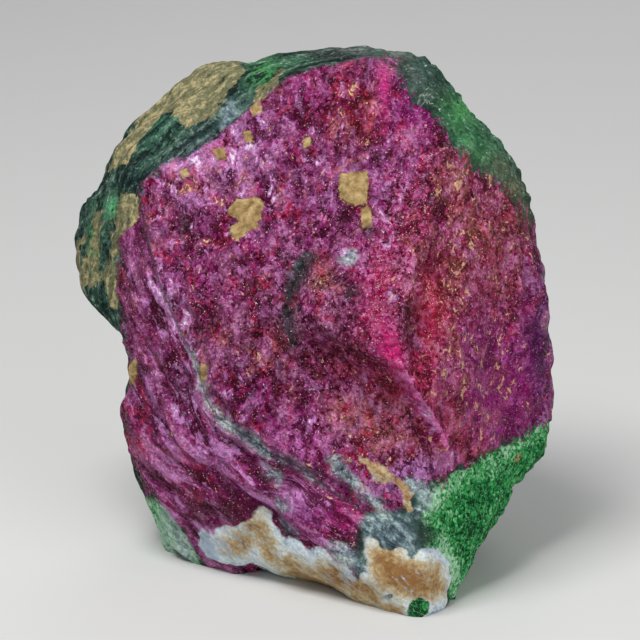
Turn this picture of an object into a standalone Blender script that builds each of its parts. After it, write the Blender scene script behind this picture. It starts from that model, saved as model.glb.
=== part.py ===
"""Ruby in zoisite: one free-standing piece of rock, broken and weathered all round.

The stone is worked out as a radius from its heart in every direction. Flat broken faces and the
stone's outline meet in that radius, grooves, ridges, hollows and thin layers are added to it, and
the part of the stone below the level it rests on is cut off flat.

Sizes are in millimetres and angles in degrees until the mesh is written in metres. Shapes are set
out in the view frame: across to the right, up, and out towards someone who looks at the front
of the stone from slightly above.
"""

import math

import bmesh
import bpy
import numpy as np

NAME = "ruby_zoisite_stone"
MM = 0.001

# How the stone stands and how its front is seen.
VIEW_TILT = 18.0
VIEW_DISTANCE = 450.0
HEART_HEIGHT = 26.6
HEART_SHIFT = (0.8, 0.75)

# Mesh density: squares along each edge of the starting cube, and triangles kept at the end.
CUBE_CUTS = 72
TRIANGLES = 9500
BASE_SNAP = 0.06

# Outline of the front: angle from the right, counterclockwise, and distance from the heart.
OUTLINE = (
    (-176, 22.4), (-170, 21.9), (-160, 23.1), (-155, 24.6), (-148, 25.2), (-140, 26.2),
    (-131, 27.6), (-123, 29.9), (-115, 30.1), (-108, 29.1), (-103, 27.7), (-97, 27.7),
    (-90, 28.8), (-80, 32.0), (-75, 34.6), (-70, 36.0), (-64, 34.8), (-58, 31.4),
    (-49, 29.1), (-40, 29.2), (-31, 31.0), (-24, 30.4), (-15, 28.0), (-4, 25.9),
    (4, 25.2), (15, 25.3), (24, 26.2), (36, 27.4), (50, 28.1), (55, 27.9),
    (60, 29.5), (67, 30.4), (74, 30.4), (80, 31.0), (92, 31.0), (101, 30.3),
    (106, 29.4), (113, 30.7), (121, 30.4), (131, 30.0), (142, 28.5), (149, 27.9),
    (155, 28.6), (162, 28.7), (167, 28.2), (172, 27.0), (177, 24.8),
)
# Where the stone is widest, out from the heart, around the outline.
WAIST = (
    (-180, -3.0), (-130, -4.0), (-100, 2.0), (-75, 12.0), (-50, 8.0), (-20, 2.0),
    (45, 0.0), (90, -1.0), (135, -4.0), (180, -3.0),
)
OUTLINE_SWELL = 1.03
OUTLINE_ROUNDING = 1.5
WAIST_TAPER = 0.006

# Broken faces: which way each one faces (turned to the right, tipped up) and its distance.
FACES = (
    (-17, 16, 13.4),    # main ruby face
    (40, 0, 18.6),      # right ruby face
    (-15, -8, 14.3),    # face under the nose
    (-41, -13, 16.8),   # layered band, upper part
    (-38, -32, 20.0),   # layered band, lower part
    (50, -6, 19.9),     # green wedge
    (-26, 69, 27.9),    # top rim
    (-38, 38, 21.7),    # crust, upper left
    (-55, 7, 20.1),     # left flank
    (76, 1, 25.6),      # folded strip along the right edge
    (56, 22, 24.2),     # crust, upper right
    (-176, 12, 17.5),   # back
    (137, 12, 22.6),    # back, right side
    (-156, -6, 21.0),   # back, left side
    (-171, 40, 25.2),   # back, upper slope
    (-172, -27, 25.9),  # back, undercut
    (129, 22, 24.5),    # back, upper right
    (-154, 28, 25.0),   # back, upper left
    (129, -18, 28.3),   # back, lower right
)
EDGE_SHARPNESS = 36.0

# Seams, steps and ridges of the front, drawn in (across, up). Each has a groove (or ridge, if
# negative) of a depth and half-width, and a rise on its left and right side that fades with reach.
LINES = (
    {
        "name": "grey seam",
        "points": (
            (-19.8, 4.4), (-15.6, 0.9), (-14.1, -2.8), (-12.9, -8.3), (-10.1, -11.9),
            (-6.4, -14.9), (-2.2, -17.8), (2.8, -19.8), (8.8, -23.7),
        ),
        "groove": (1.2, 1.0), "rise": (0.0, -1.2), "reach": 9.0, "fade": (0.12, 0.12),
    },
    {
        "name": "underside of the nose",
        "points": ((-3.7, -0.2), (1.1, -2.8), (6.1, -5.3), (9.9, -9.0), (13.8, -14.3)),
        "groove": (0.3, 1.0), "rise": (1.9, -2.3), "reach": 8.5, "fade": (0.25, 0.35),
    },
    {
        "name": "left side of the nose",
        "points": ((2.8, 10.5), (-1.1, 7.2), (-3.1, 3.1), (-3.7, -1.1)),
        "groove": (0.8, 1.1), "rise": (1.0, 0.0), "reach": 5.0, "fade": (0.3, 0.2),
    },
    {
        "name": "crest between the ruby faces",
        "points": (
            (11.9, 24.0), (12.2, 17.1), (11.4, 12.7), (10.1, 8.3), (8.8, 3.9),
            (8.0, -0.6), (8.6, -5.0), (10.5, -8.3), (13.8, -14.3),
        ),
        "groove": (-0.9, 1.3), "rise": (0.0, 0.0), "reach": 1.0, "fade": (0.15, 0.1),
    },
    {
        "name": "step below the top rim",
        "points": ((6.9, 29.5), (6.8, 25.0), (6.4, 20.5)),
        "groove": (0.3, 0.8), "rise": (-0.6, 0.5), "reach": 3.0, "fade": (0.1, 0.4),
    },
)

# Round hollows and lumps of the front: centre, half sizes, turn and height.
MOUNDS = (
    ((10.2, -0.9), (1.5, 4.2), -8, -1.9),     # pocket beside the crest
    ((9.7, 24.4), (2.3, 2.9), 20, -0.8),      # dip below the top rim
    ((5.7, -9.7), (6.8, 4.0), -30, -1.3),     # scoop under the nose
    ((-17.6, -11.0), (3.9, 7.7), 10, 1.2),    # swelling of the layered band
    ((-2.2, -29.7), (5.5, 2.4), -10, -0.9),   # arch over the floor
    ((16.8, 19.6), (3.2, 4.0), 40, 0.9),      # lump of the crust, upper right
    ((20.6, 2.2), (3.0, 8.0), -15, -0.7),     # dip along the right face
    ((5.5, -27.5), (9.5, 3.4), -14, 0.6),     # thick crust along the bottom
)

# Shallow scoops broken out of the sides and back: direction, half-width in degrees and depth.
SCOOPS = (
    (-160, 20, 24.0, 1.6), (150, -20, 22.0, 1.8), (175, -12, 18.0, -1.0),
    (110, 30, 20.0, 1.3), (-110, -15, 20.0, 1.4), (-125, 35, 16.0, -0.9),
    (95, -25, 18.0, 1.2), (-175, 62, 18.0, 1.2),
)

# Thin layers that show as ledges where the stone isn't ruby, behind LAYER_FRONT.
LAYER_SPACING = 3.1
LAYER_HEIGHT = 0.55
LAYER_FRONT = 3.0
LAYER_DROP = 0.25

# Folds down the right edge, where the ruby reaches round to the side.
FOLD_SPACING = 1.9
FOLD_HEIGHT = 0.3
FOLD_WIDTH = 3.0
FOLD_CENTRE = 23.4
RUBY_SIDE_START = 17.0
RUBY_SIDE_TOP = 14.0
RUBY_SIDE_FADE = 4.0

# Unevenness, as layers of noise: size of the bumps, height and number of the pattern.
BUMPS = ((9.0, 0.55, 1), (4.5, 0.32, 2), (2.3, 0.22, 3))
LAYER_WARP = ((10.0, 2.4, 5), (4.0, 0.7, 6))
LAYER_WEAR = ((7.0, 0.9, 7),)
LAYER_WEAR_MEAN = 0.6
PATTERN_STEP = 17.31

# Widths over which the reliefs of the front fade in.
STEP_WIDTH = 1.5
FRONT_FADE = (-0.05, 0.2)


def smooth_step(x):
    """0 below 0, 1 above 1, with a smooth rise between."""
    x = np.clip(x, 0.0, 1.0)
    return x * x * (3.0 - 2.0 * x)


def bell(x):
    """1 at zero, falling to nothing at about 2."""
    return np.exp(-x * x)


def corner_values(i, j, k):
    """A fixed value from -1 to 1 for each corner of a lattice."""
    n = (i * 374761393 + j * 668265263 + k * 2147483647) & 0xFFFFFFFF
    n = ((n ^ (n >> 13)) * 1274126177) & 0xFFFFFFFF
    return ((n ^ (n >> 16)) & 0xFFFF) / 32767.5 - 1.0


def noise(points, size, pattern):
    """Smooth bumps from -1 to 1, about as wide as size."""
    place = points / size + pattern * PATTERN_STEP
    cell = np.floor(place).astype(np.int64)
    part = place - cell
    part = part * part * part * (part * (part * 6.0 - 15.0) + 10.0)
    total = np.zeros(len(points))
    for i in (0, 1):
        along_x = part[:, 0] if i else 1.0 - part[:, 0]
        for j in (0, 1):
            along_y = part[:, 1] if j else 1.0 - part[:, 1]
            for k in (0, 1):
                along_z = part[:, 2] if k else 1.0 - part[:, 2]
                corner = corner_values(cell[:, 0] + i, cell[:, 1] + j, cell[:, 2] + k)
                total += along_x * along_y * along_z * corner
    return total


def bumps(points, table):
    """The sum of several noises, each given as (size, height, pattern)."""
    return sum(height * noise(points, size, pattern) for size, height, pattern in table)


def facing(turn, tip):
    """The unit vector (across, up, out) that is turned to the right and tipped up."""
    turn = math.radians(turn)
    tip = math.radians(tip)
    level = math.cos(tip)
    return np.array((math.sin(turn) * level, math.sin(tip), math.cos(turn) * level))


def round_table(table, angle):
    """Values of a table of (angle, value) at any angle in degrees."""
    angles, values = np.array(table, float).T
    return np.interp(angle, angles, values, period=360.0)


def outline_at(angle):
    """Distance of the outline from the heart, with its corners rounded a little."""
    before = round_table(OUTLINE, angle - OUTLINE_ROUNDING)
    after = round_table(OUTLINE, angle + OUTLINE_ROUNDING)
    return OUTLINE_SWELL * (before + 2.0 * round_table(OUTLINE, angle) + after) / 4.0


def outline_pulls(directions):
    """How near the outline is in each direction, as 1/radius, in front of and behind the waist."""
    level = np.hypot(directions[:, 0], directions[:, 1])
    angle = np.degrees(np.arctan2(directions[:, 1], directions[:, 0]))
    radius = outline_at(angle)
    waist = round_table(WAIST, angle)
    out = directions[:, 2]
    seen = 1.0 / VIEW_DISTANCE
    front = (level / radius + (WAIST_TAPER + seen) * out) / (1.0 + WAIST_TAPER * waist)
    behind = (level / radius - (WAIST_TAPER - seen) * out) / (1.0 - WAIST_TAPER * waist)
    return [front, behind]


def broken_radius(directions):
    """Radius of the stone with flat faces only, its edges slightly rounded."""
    pulls = outline_pulls(directions)
    for turn, tip, distance in FACES:
        pulls.append(directions @ facing(turn, tip) / distance)
    pulls = np.clip(np.array(pulls), 1e-4, None)
    most = pulls.max(axis=0)
    total = ((pulls / most) ** EDGE_SHARPNESS).sum(axis=0)
    return 1.0 / (most * total ** (1.0 / EDGE_SHARPNESS))


def seen_at(points):
    """Where each point is seen from the front, as (across, up) at the heart's distance."""
    nearer = VIEW_DISTANCE / (VIEW_DISTANCE - points[:, 2])
    return points[:, :2] * nearer[:, None]


def along_line(line, places):
    """Distance from a line of points, the side (+1 on its right) and how far along, 0 to 1."""
    line = np.array(line)
    lengths = np.linalg.norm(np.diff(line, axis=0), axis=1)
    distance = np.full(len(places), np.inf)
    side = np.zeros(len(places))
    along = np.zeros(len(places))
    passed = 0.0
    for start, end, length in zip(line[:-1], line[1:], lengths):
        step = (end - start) / length
        offset = places - start
        reach = np.clip(offset @ step, 0.0, length)
        gap = np.linalg.norm(offset - reach[:, None] * step, axis=1)
        nearer = gap < distance
        turn = offset[:, 0] * step[1] - offset[:, 1] * step[0]
        distance = np.where(nearer, gap, distance)
        side = np.where(nearer, np.sign(turn), side)
        along = np.where(nearer, (passed + reach) / lengths.sum(), along)
        passed += length
    return distance, side, along


def line_height(line, places):
    """Height of one groove, ridge or step of the front."""
    distance, side, along = along_line(line["points"], places)
    depth, width = line["groove"]
    left, right = line["rise"]
    start, end = line["fade"]
    rise = np.where(side < 0.0, left, right) * smooth_step(distance / STEP_WIDTH)
    height = rise * bell(distance / line["reach"]) - depth * bell(distance / width)
    return height * smooth_step(along / start) * smooth_step((1.0 - along) / end)


def mound_height(mound, places):
    """Height of one round hollow or lump of the front."""
    centre, half_sizes, turn, height = mound
    turn = math.radians(turn)
    offset = places - np.array(centre)
    x = offset[:, 0] * math.cos(turn) + offset[:, 1] * math.sin(turn)
    y = offset[:, 1] * math.cos(turn) - offset[:, 0] * math.sin(turn)
    return height * bell(np.hypot(x / half_sizes[0], y / half_sizes[1]))


def scoop_height(scoop, directions):
    """Height of one shallow scoop, or of a swelling if its depth is negative."""
    turn, tip, half_width, depth = scoop
    away = np.degrees(np.arccos(np.clip(directions @ facing(turn, tip), -1.0, 1.0)))
    return -depth * bell(away / half_width)


def ledges(amount):
    """A repeated ledge: a slow rise and a quick drop, from -0.5 to 0.5."""
    part = amount - np.floor(amount)
    return np.minimum(part / (1.0 - LAYER_DROP), (1.0 - part) / LAYER_DROP) - 0.5


def layer_height(points):
    """Ledges of thin layers that wrap the ruby, and the folds down the right edge."""
    across, up, out = points.T
    warp = bumps(points, LAYER_WARP)
    worn = smooth_step(LAYER_WEAR_MEAN + bumps(points, LAYER_WEAR))
    outside = smooth_step((LAYER_FRONT + warp - out) / 2.0)
    side = smooth_step((across - RUBY_SIDE_START) / RUBY_SIDE_FADE)
    side = side * smooth_step((RUBY_SIDE_TOP - up) / RUBY_SIDE_FADE)
    layers = LAYER_HEIGHT * ledges((out + warp) / LAYER_SPACING) * outside
    folds = FOLD_HEIGHT * ledges((out + 0.4 * warp) / FOLD_SPACING)
    folds = folds * bell((across - FOLD_CENTRE) / FOLD_WIDTH)
    return worn * (layers * (1.0 - side) + folds * side)


def stone_points(directions):
    """The surface point of the stone in each direction, in the view frame."""
    flat = directions * broken_radius(directions)[:, None]
    places = seen_at(flat)
    height = sum(line_height(line, places) for line in LINES)
    height = height + sum(mound_height(mound, places) for mound in MOUNDS)
    fade_start, fade_end = FRONT_FADE
    height = height * smooth_step((directions[:, 2] - fade_start) / (fade_end - fade_start))
    height = height + sum(scoop_height(scoop, directions) for scoop in SCOOPS)
    height = height + layer_height(flat) + bumps(flat, BUMPS)
    return flat + directions * height[:, None]


def stand_up(points):
    """Turns points of the view frame to the stone's own frame and cuts its base level."""
    tilt = math.radians(VIEW_TILT)
    x = points[:, 0] + HEART_SHIFT[0]
    y = points[:, 1] * math.sin(tilt) - points[:, 2] * math.cos(tilt) + HEART_SHIFT[1]
    z = points[:, 1] * math.cos(tilt) + points[:, 2] * math.sin(tilt) + HEART_HEIGHT
    return np.stack((x, y, np.maximum(z, 0.0)), axis=1)


def cube_mesh():
    """A cube from -1 to 1, each face a grid of squares."""
    mesh = bpy.data.meshes.new(NAME)
    grid = bmesh.new()
    bmesh.ops.create_cube(grid, size=2.0)
    bmesh.ops.subdivide_edges(grid, edges=grid.edges[:], cuts=CUBE_CUTS - 1, use_grid_fill=True)
    grid.to_mesh(mesh)
    grid.free()
    return mesh


def read_points(mesh):
    """The mesh's vertices as rows of x, y, z."""
    points = np.empty(len(mesh.vertices) * 3)
    mesh.vertices.foreach_get("co", points)
    return points.reshape(-1, 3)


def write_points(mesh, points):
    """Moves the mesh's vertices."""
    mesh.vertices.foreach_set("co", points.ravel())
    mesh.update()


def view_directions(mesh):
    """A unit vector for each vertex of the cube, spread evenly over all directions."""
    spread = np.tan(read_points(mesh) * math.pi / 4.0)
    return spread / np.linalg.norm(spread, axis=1)[:, None]


def simplified(item, triangles):
    """The object's mesh with few triangles, most of them kept where it bends."""
    keep = item.modifiers.new("thin_out", "DECIMATE")
    keep.ratio = triangles / (2.0 * len(item.data.polygons))
    graph = bpy.context.evaluated_depsgraph_get()
    mesh = bpy.data.meshes.new_from_object(item.evaluated_get(graph))
    item.modifiers.remove(keep)
    return mesh


def level_base(mesh):
    """Puts every vertex that is nearly on the floor exactly on it."""
    points = read_points(mesh)
    points[points[:, 2] < BASE_SNAP * MM, 2] = 0.0
    write_points(mesh, points)


def stone_material():
    """The stone's average colour, seen from far off."""
    material = bpy.data.materials.new(NAME)
    material.use_nodes = True
    shader = material.node_tree.nodes["Principled BSDF"]
    shader.inputs["Base Color"].default_value = (0.25, 0.07, 0.12, 1.0)
    shader.inputs["Roughness"].default_value = 0.6
    shader.inputs["Metallic"].default_value = 0.0
    return material


def make_stone():
    """The finished stone, with its origin on the floor below its middle."""
    mesh = cube_mesh()
    write_points(mesh, stand_up(stone_points(view_directions(mesh))) * MM)
    stone = bpy.data.objects.new(NAME, mesh)
    collection = bpy.data.collections.new("ruby_in_zoisite")
    bpy.context.scene.collection.children.link(collection)
    collection.objects.link(stone)
    stone.data = simplified(stone, TRIANGLES)
    stone.data.name = NAME
    level_base(stone.data)
    stone.data.materials.append(stone_material())
    bpy.data.meshes.remove(mesh)
    return stone


def main():
    """Clears the scene and builds the stone."""
    for item in list(bpy.data.objects):
        bpy.data.objects.remove(item)
    make_stone()


if __name__ == "__main__":
    main()
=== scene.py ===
"""Ruby in zoisite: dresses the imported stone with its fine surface, its minerals and their colours.

The stone's shape is the one that the solid was made from, worked out again on a finer grid, with
the small relief of its grains and layers added. Each mineral's area is an outline drawn on the
front of the stone. How far each vertex lies inside an area is kept as an attribute, and the
material turns those distances into sharp, uneven borders.

Sizes are in millimetres and angles in degrees until a mesh is written in metres. The view frame
is across to the right, up, and out towards someone who looks at the front from slightly above.
"""

import math
from collections import namedtuple

import bpy
import numpy as np
from bpy.props import FloatProperty, FloatVectorProperty, IntProperty, PointerProperty
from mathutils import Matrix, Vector


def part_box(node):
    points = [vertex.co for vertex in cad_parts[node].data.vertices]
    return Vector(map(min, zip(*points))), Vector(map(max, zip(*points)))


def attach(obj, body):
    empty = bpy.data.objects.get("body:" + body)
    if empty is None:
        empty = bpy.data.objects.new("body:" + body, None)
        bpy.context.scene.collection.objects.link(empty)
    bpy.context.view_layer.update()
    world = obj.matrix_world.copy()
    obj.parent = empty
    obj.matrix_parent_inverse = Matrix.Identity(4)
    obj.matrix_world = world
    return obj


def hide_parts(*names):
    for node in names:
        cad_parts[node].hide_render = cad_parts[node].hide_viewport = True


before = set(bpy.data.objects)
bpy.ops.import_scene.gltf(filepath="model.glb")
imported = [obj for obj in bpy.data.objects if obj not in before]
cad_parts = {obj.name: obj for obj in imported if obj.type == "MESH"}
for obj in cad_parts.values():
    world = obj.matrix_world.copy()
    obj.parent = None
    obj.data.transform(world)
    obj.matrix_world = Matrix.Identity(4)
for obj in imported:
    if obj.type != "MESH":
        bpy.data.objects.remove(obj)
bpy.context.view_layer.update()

bl_info = {
    "name": "Ruby in Zoisite",
    "version": (1, 0, 0),
    "blender": (4, 5, 0),
    "location": "3D View > Sidebar > Stone",
    "description": "Builds a rough piece of ruby in zoisite and a plain stage for it",
    "category": "Add Mesh",
}

NODE = "ruby_zoisite_stone"
MM = 0.001

# --- The stone's shape, as in the solid ---

# The front is seen from this angle above level and this far from the stone's heart.
VIEW_TILT = 18.0
VIEW_DISTANCE = 450.0
# Place of the heart: height over the floor, and shift to the right and to the back.
HEART_HEIGHT = 26.6
HEART_SHIFT = (0.8, 0.75)

# Outline of the front: angle from the right, counterclockwise, and distance from the heart.
OUTLINE = (
    (-176, 22.4), (-170, 21.9), (-160, 23.1), (-155, 24.6), (-148, 25.2), (-140, 26.2), (-131, 27.6),
    (-123, 29.9), (-115, 30.1), (-108, 29.1), (-103, 27.7), (-97, 27.7), (-90, 28.8), (-80, 32.0),
    (-75, 34.6), (-70, 36.0), (-64, 34.8), (-58, 31.4), (-49, 29.1), (-40, 29.2), (-31, 31.0), (-24, 30.4),
    (-15, 28.0), (-4, 25.9), (4, 25.2), (15, 25.3), (24, 26.2), (36, 27.4), (50, 28.1), (55, 27.9),
    (60, 29.5), (67, 30.4), (74, 30.4), (80, 31.0), (92, 31.0), (101, 30.3), (106, 29.4), (113, 30.7),
    (121, 30.4), (131, 30.0), (142, 28.5), (149, 27.9), (155, 28.6), (162, 28.7), (167, 28.2), (172, 27.0),
    (177, 24.8),
)
# Where the stone is widest, out from the heart, around the outline.
WAIST = (
    (-180, -3.0), (-130, -4.0), (-100, 2.0), (-75, 12.0), (-50, 8.0), (-20, 2.0), (45, 0.0), (90, -1.0),
    (135, -4.0), (180, -3.0),
)
# The outline is swollen by this factor, its corners are rounded over this angle, and the sides
# taper by this share for each millimetre from the waist.
OUTLINE_SWELL = 1.03
OUTLINE_ROUNDING = 1.5
WAIST_TAPER = 0.006

# Broken faces: which way each one faces (turned to the right, tipped up) and its distance.
FACES = (
    (-17, 16, 13.4),  # main ruby face
    (40, 0, 18.6),  # right ruby face
    (-15, -8, 14.3),  # face under the nose
    (-41, -13, 16.8),  # layered band, upper part
    (-38, -32, 20.0),  # layered band, lower part
    (50, -6, 19.9),  # green wedge
    (-26, 69, 27.9),  # top rim
    (-38, 38, 21.7),  # rind, upper left
    (-55, 7, 20.1),  # left flank
    (76, 1, 25.6),  # folded strip along the right edge
    (56, 22, 24.2),  # rind, upper right
    (-176, 12, 17.5),  # back
    (137, 12, 22.6),  # back, right side
    (-156, -6, 21.0),  # back, left side
    (-171, 40, 25.2),  # back, upper slope
    (-172, -27, 25.9),  # back, undercut
    (129, 22, 24.5),  # back, upper right
    (-154, 28, 25.0),  # back, upper left
    (129, -18, 28.3),  # back, lower right
)
EDGE_SHARPNESS = 36.0

# A seam, step or ridge of the front, with points in (across, up). Its groove, or its ridge if
# negative, has a depth and a half-width. It rises by so much on its left and on its right, which
# fades with reach. It fades over these shares of its length at its start and end. Shine is how
# strong the painted highlight on its top is.
Line = namedtuple("Line", "points groove rise reach fade shine", defaults=(0.0,))
LINES = (
    # Grey seam.
    Line(
        (
            (-19.8, 4.4), (-15.6, 0.9), (-14.1, -2.8), (-12.9, -8.3), (-10.1, -11.9), (-6.4, -14.9),
            (-2.2, -17.8), (2.8, -19.8), (8.8, -23.7),
        ),
        (1.2, 1.0), (0.0, -1.2), 9.0, (0.12, 0.12),
    ),
    # Underside of the nose.
    Line(
        ((-3.7, -0.2), (1.1, -2.8), (6.1, -5.3), (9.9, -9.0), (13.8, -14.3)),
        (0.3, 1.0), (1.9, -2.3), 8.5, (0.25, 0.35),
    ),
    # Left side of the nose.
    Line(((2.8, 10.5), (-1.1, 7.2), (-3.1, 3.1), (-3.7, -1.1)), (0.8, 1.1), (1.0, 0.0), 5.0, (0.3, 0.2)),
    # Crest between the ruby faces.
    Line(
        (
            (11.9, 24.0), (12.2, 17.1), (11.4, 12.7), (10.1, 8.3), (8.8, 3.9), (8.0, -0.6), (8.6, -5.0),
            (10.5, -8.3), (13.8, -14.3),
        ),
        (-0.9, 1.3), (0.0, 0.0), 1.0, (0.15, 0.1),
    ),
    # Step below the top rim.
    Line(((6.9, 29.5), (6.8, 25.0), (6.4, 20.5)), (0.3, 0.8), (-0.6, 0.5), 3.0, (0.1, 0.4)),
)

# Round hollows and lumps of the front: across, up, half sizes, turn and height.
MOUNDS = (
    (10.2, -0.9, 1.5, 4.2, -8, -1.9),  # pocket beside the crest
    (9.7, 24.4, 2.3, 2.9, 20, -0.8),  # dip below the top rim
    (5.7, -9.7, 6.8, 4.0, -30, -1.3),  # scoop under the nose
    (-17.6, -11.0, 3.9, 7.7, 10, 1.2),  # swelling of the layered band
    (-2.2, -29.7, 5.5, 2.4, -10, -0.9),  # arch over the floor
    (16.8, 19.6, 3.2, 4.0, 40, 0.9),  # lump of the rind, upper right
    (20.6, 2.2, 3.0, 8.0, -15, -0.7),  # dip along the right face
    (5.5, -27.5, 9.5, 3.4, -14, 0.6),  # thick crust along the bottom
)

# Shallow scoops broken out of the sides and back: direction, half-width in degrees and depth.
SCOOPS = (
    (-160, 20, 24.0, 1.6), (150, -20, 22.0, 1.8), (175, -12, 18.0, -1.0), (110, 30, 20.0, 1.3),
    (-110, -15, 20.0, 1.4), (-125, 35, 16.0, -0.9), (95, -25, 18.0, 1.2), (-175, 62, 18.0, 1.2),
)

# Thin layers that show as ledges where the stone isn't ruby, behind LAYER_FRONT.
LAYER_SPACING = 3.1
LAYER_HEIGHT = 0.55
LAYER_FRONT = 3.0
LAYER_FADE = 2.0
LAYER_DROP = 0.25

# Folds down the right edge, where the ruby reaches round to the side.
FOLD_SPACING = 1.9
FOLD_HEIGHT = 0.3
FOLD_WIDTH = 3.0
FOLD_CENTRE = 23.4
FOLD_WARP = 0.4
RUBY_SIDE_START = 17.0
RUBY_SIDE_TOP = 14.0
RUBY_SIDE_FADE = 4.0

# Unevenness, as layers of noise: size of the bumps, height and number of the pattern.
BUMPS = ((9.0, 0.55, 1), (4.5, 0.32, 2), (2.3, 0.22, 3))
LAYER_WARP = ((10.0, 2.4, 5), (4.0, 0.7, 6))
LAYER_WEAR = ((7.0, 0.9, 7),)
LAYER_WEAR_MEAN = 0.6
PATTERN_STEP = 17.31
# Numbers that scramble a lattice corner into a fixed random value.
CORNER_PRIMES = (374761393, 668265263, 2147483647)
SCRAMBLE_PRIME = 1274126177
LOW_32_BITS = 0xFFFFFFFF
LOW_16_BITS = 0xFFFF
HALF_RANGE = LOW_16_BITS / 2.0

# Widths over which the reliefs of the front fade in.
STEP_WIDTH = 1.5
FRONT_FADE = (-0.05, 0.2)

# --- Fine relief, only on the dressed stone ---

# The grid of directions leans this far towards the front, so that it is finer there.
FRONT_LEAN = 0.3
# Angular crystals: size, height and pattern. Each has its own slope and a round top.
CRYSTALS = ((2.1, 0.75, 31), (0.95, 0.42, 41))
CRYSTAL_TILT = 0.75
CRYSTAL_ROUND = 0.6
CRYSTAL_SHIFT = 0.38
# A crystal's six random numbers are read this many corners apart.
CRYSTAL_GAP = 7
# Small bumps of all surfaces: size, height and pattern.
GRAIN_BUMPS = ((1.3, 0.08, 11), (0.7, 0.07, 12))
# Furrows of the layered band below the seam, and how high they are on the rind and the ruby face.
FURROWS = ((1.1, 0.2, 13), (0.6, 0.1, 14))
RIND_FURROWS = 1.3
FACE_FURROWS = 0.35
# Grain of the layered band: how much longer it is, and the round bend that it follows.
BAND_STRETCH = 0.32
BEND_MIDDLE = (19.8, 17.6)
BEND_RADIUS = 42.0
# The band's pattern is moved this far, so that it differs from the face's.
BAND_SHIFT = 40.0
BAND_FADE = 1.5
# Behind this depth the grain below the seam is even.
BAND_BACK = -12.0
# Grain of the ruby face, upwards and with depth.
RUBY_STRETCH = 0.7
RUBY_DEPTH = 0.6
# The rind is layered on the left and turns granular to the right of this place.
GRANULAR_START = 3.0
GRANULAR_FADE = 7.0
GRANULAR_FINE = 1.3
LAYER_STRETCH = 0.25
# Crystals are left out within this distance of the seam, and are this much lower on the crust.
SEAM_FLAT = 0.7
SEAM_FADE = 3.0
CRUST_FLAT = 0.6
# Tan patches and crust stand up by this much over a short slope.
PATCH_RISE = 0.2
CRUST_RISE = 0.25
PATCH_SLOPE = 0.3

# Small seams and ridges of the front, which fade behind it. Their tops get a painted highlight
# over a part of their width.
RIDGE_WIDTH = 0.9
FINE_FADE = 4.0
FINE_LINES = (
    # Lower crest.
    Line(
        ((7.7, -2.9), (9.7, -6.6), (12.9, -11.7), (14.4, -15.0)),
        (-0.5, 0.6), (0.0, -0.3), 2.0, (0.15, 0.12), 1.05,
    ),
    # Upper crest.
    Line(
        (
            (11.4, 19.8), (11.9, 17.1), (11.4, 14.3), (9.9, 8.8), (8.4, 5.0), (8.4, 2.2), (8.0, -1.6),
            (8.5, -4.6),
        ),
        (-0.55, 0.7), (0.2, -0.35), 2.4, (0.15, 0.15), 0.35,
    ),
    # Fold down the right edge.
    Line(
        ((21.7, 10.8), (22.8, 7.7), (23.3, -1.1), (23.9, -5.0), (24.8, -8.4)),
        (0.6, 0.5), (0.0, 0.25), 2.0, (0.2, 0.15),
    ),
    # Inner fold down the right face.
    Line(
        ((20.4, 2.2), (21.6, -1.6), (23.1, -4.6), (24.3, -7.9)),
        (-0.35, 0.5), (0.0, 0.0), 1.0, (0.3, 0.3), 0.3,
    ),
    # Ridge below the top rim.
    Line(((6.9, 27.9), (7.2, 25.3), (6.8, 20.0)), (-0.5, 0.7), (0.0, -0.2), 2.0, (0.15, 0.3), 0.4),
    # Step in the layered band.
    Line(
        (
            (-15.8, -3.5), (-15.0, -7.2), (-13.6, -10.1), (-11.2, -12.8), (-8.1, -15.4), (-4.4, -17.8),
            (1.1, -20.9),
        ),
        (0.45, 0.6), (0.25, -0.25), 2.5, (0.2, 0.2),
    ),
    # Second step in the layered band.
    Line(
        ((-18.7, -8.8), (-17.6, -12.1), (-15.6, -14.8), (-7.7, -19.8), (-2.2, -22.9)),
        (0.5, 0.7), (0.3, -0.2), 2.5, (0.2, 0.2),
    ),
)

# --- Areas of the front, drawn in (across, up) ---

RUBY_AREA = (
    (-19.8, 14.3), (-18.7, 15.6), (-11.6, 19.6), (-9.7, 21.8), (-3.9, 26.1), (0.2, 27.9), (4.4, 28.8),
    (7.2, 28.9), (8.4, 28.6), (8.6, 26.9), (10.4, 23.6), (12.3, 22.9), (14.8, 19.0), (16.5, 17.4),
    (22.0, 12.8), (23.1, 10.8), (27.5, 9.3), (28.1, -9.3), (13.3, -17.5), (11.4, -17.8), (9.9, -18.7),
    (9.2, -20.7), (7.0, -21.3), (5.3, -21.3), (4.5, -22.9), (4.1, -24.8), (3.5, -35.2), (-11.6, -30.8),
    (-12.7, -27.2), (-15.2, -22.9), (-18.6, -19.2), (-21.4, -18.7), (-24.2, -11.0), (-23.1, -2.8),
    (-21.6, -2.2), (-22.2, 5.5), (-22.0, 8.8), (-20.1, 11.6),
)
# Ruby, crust, dark creases, green and tan layers reach to these places behind the heart.
RUBY_BACK = -6.0
CRUST_BACK = -3.0
DARK_BACK = -2.0
GREEN_BACK = -12.0
TAN_BACK = -18.0
# Noise that makes these borders ragged, and its share for the crust and the green.
SIDE_WARP = ((9.0, 2.6, 35), (3.5, 1.2, 36), (1.5, 0.5, 37))
CRUST_WARP = 0.5
GREEN_WARP = 2.5
# Behind this place borders drift across and up, and sink by so much for each millimetre.
DRIFT_START = -2.0
DRIFT_FADE = 8.0
DRIFT_ACROSS = ((9.0, 3.6, 38), (3.0, 1.2, 39))
DRIFT_UP = ((9.0, 5.5, 40), (3.0, 1.6, 42))
DRIFT_SINK = 0.4
# Only behind this place do patches of other minerals show in the rind.
HIDDEN_START = -16.0
HIDDEN_FADE = 3.0
HIDDEN_DEPTH = 8.0
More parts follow.
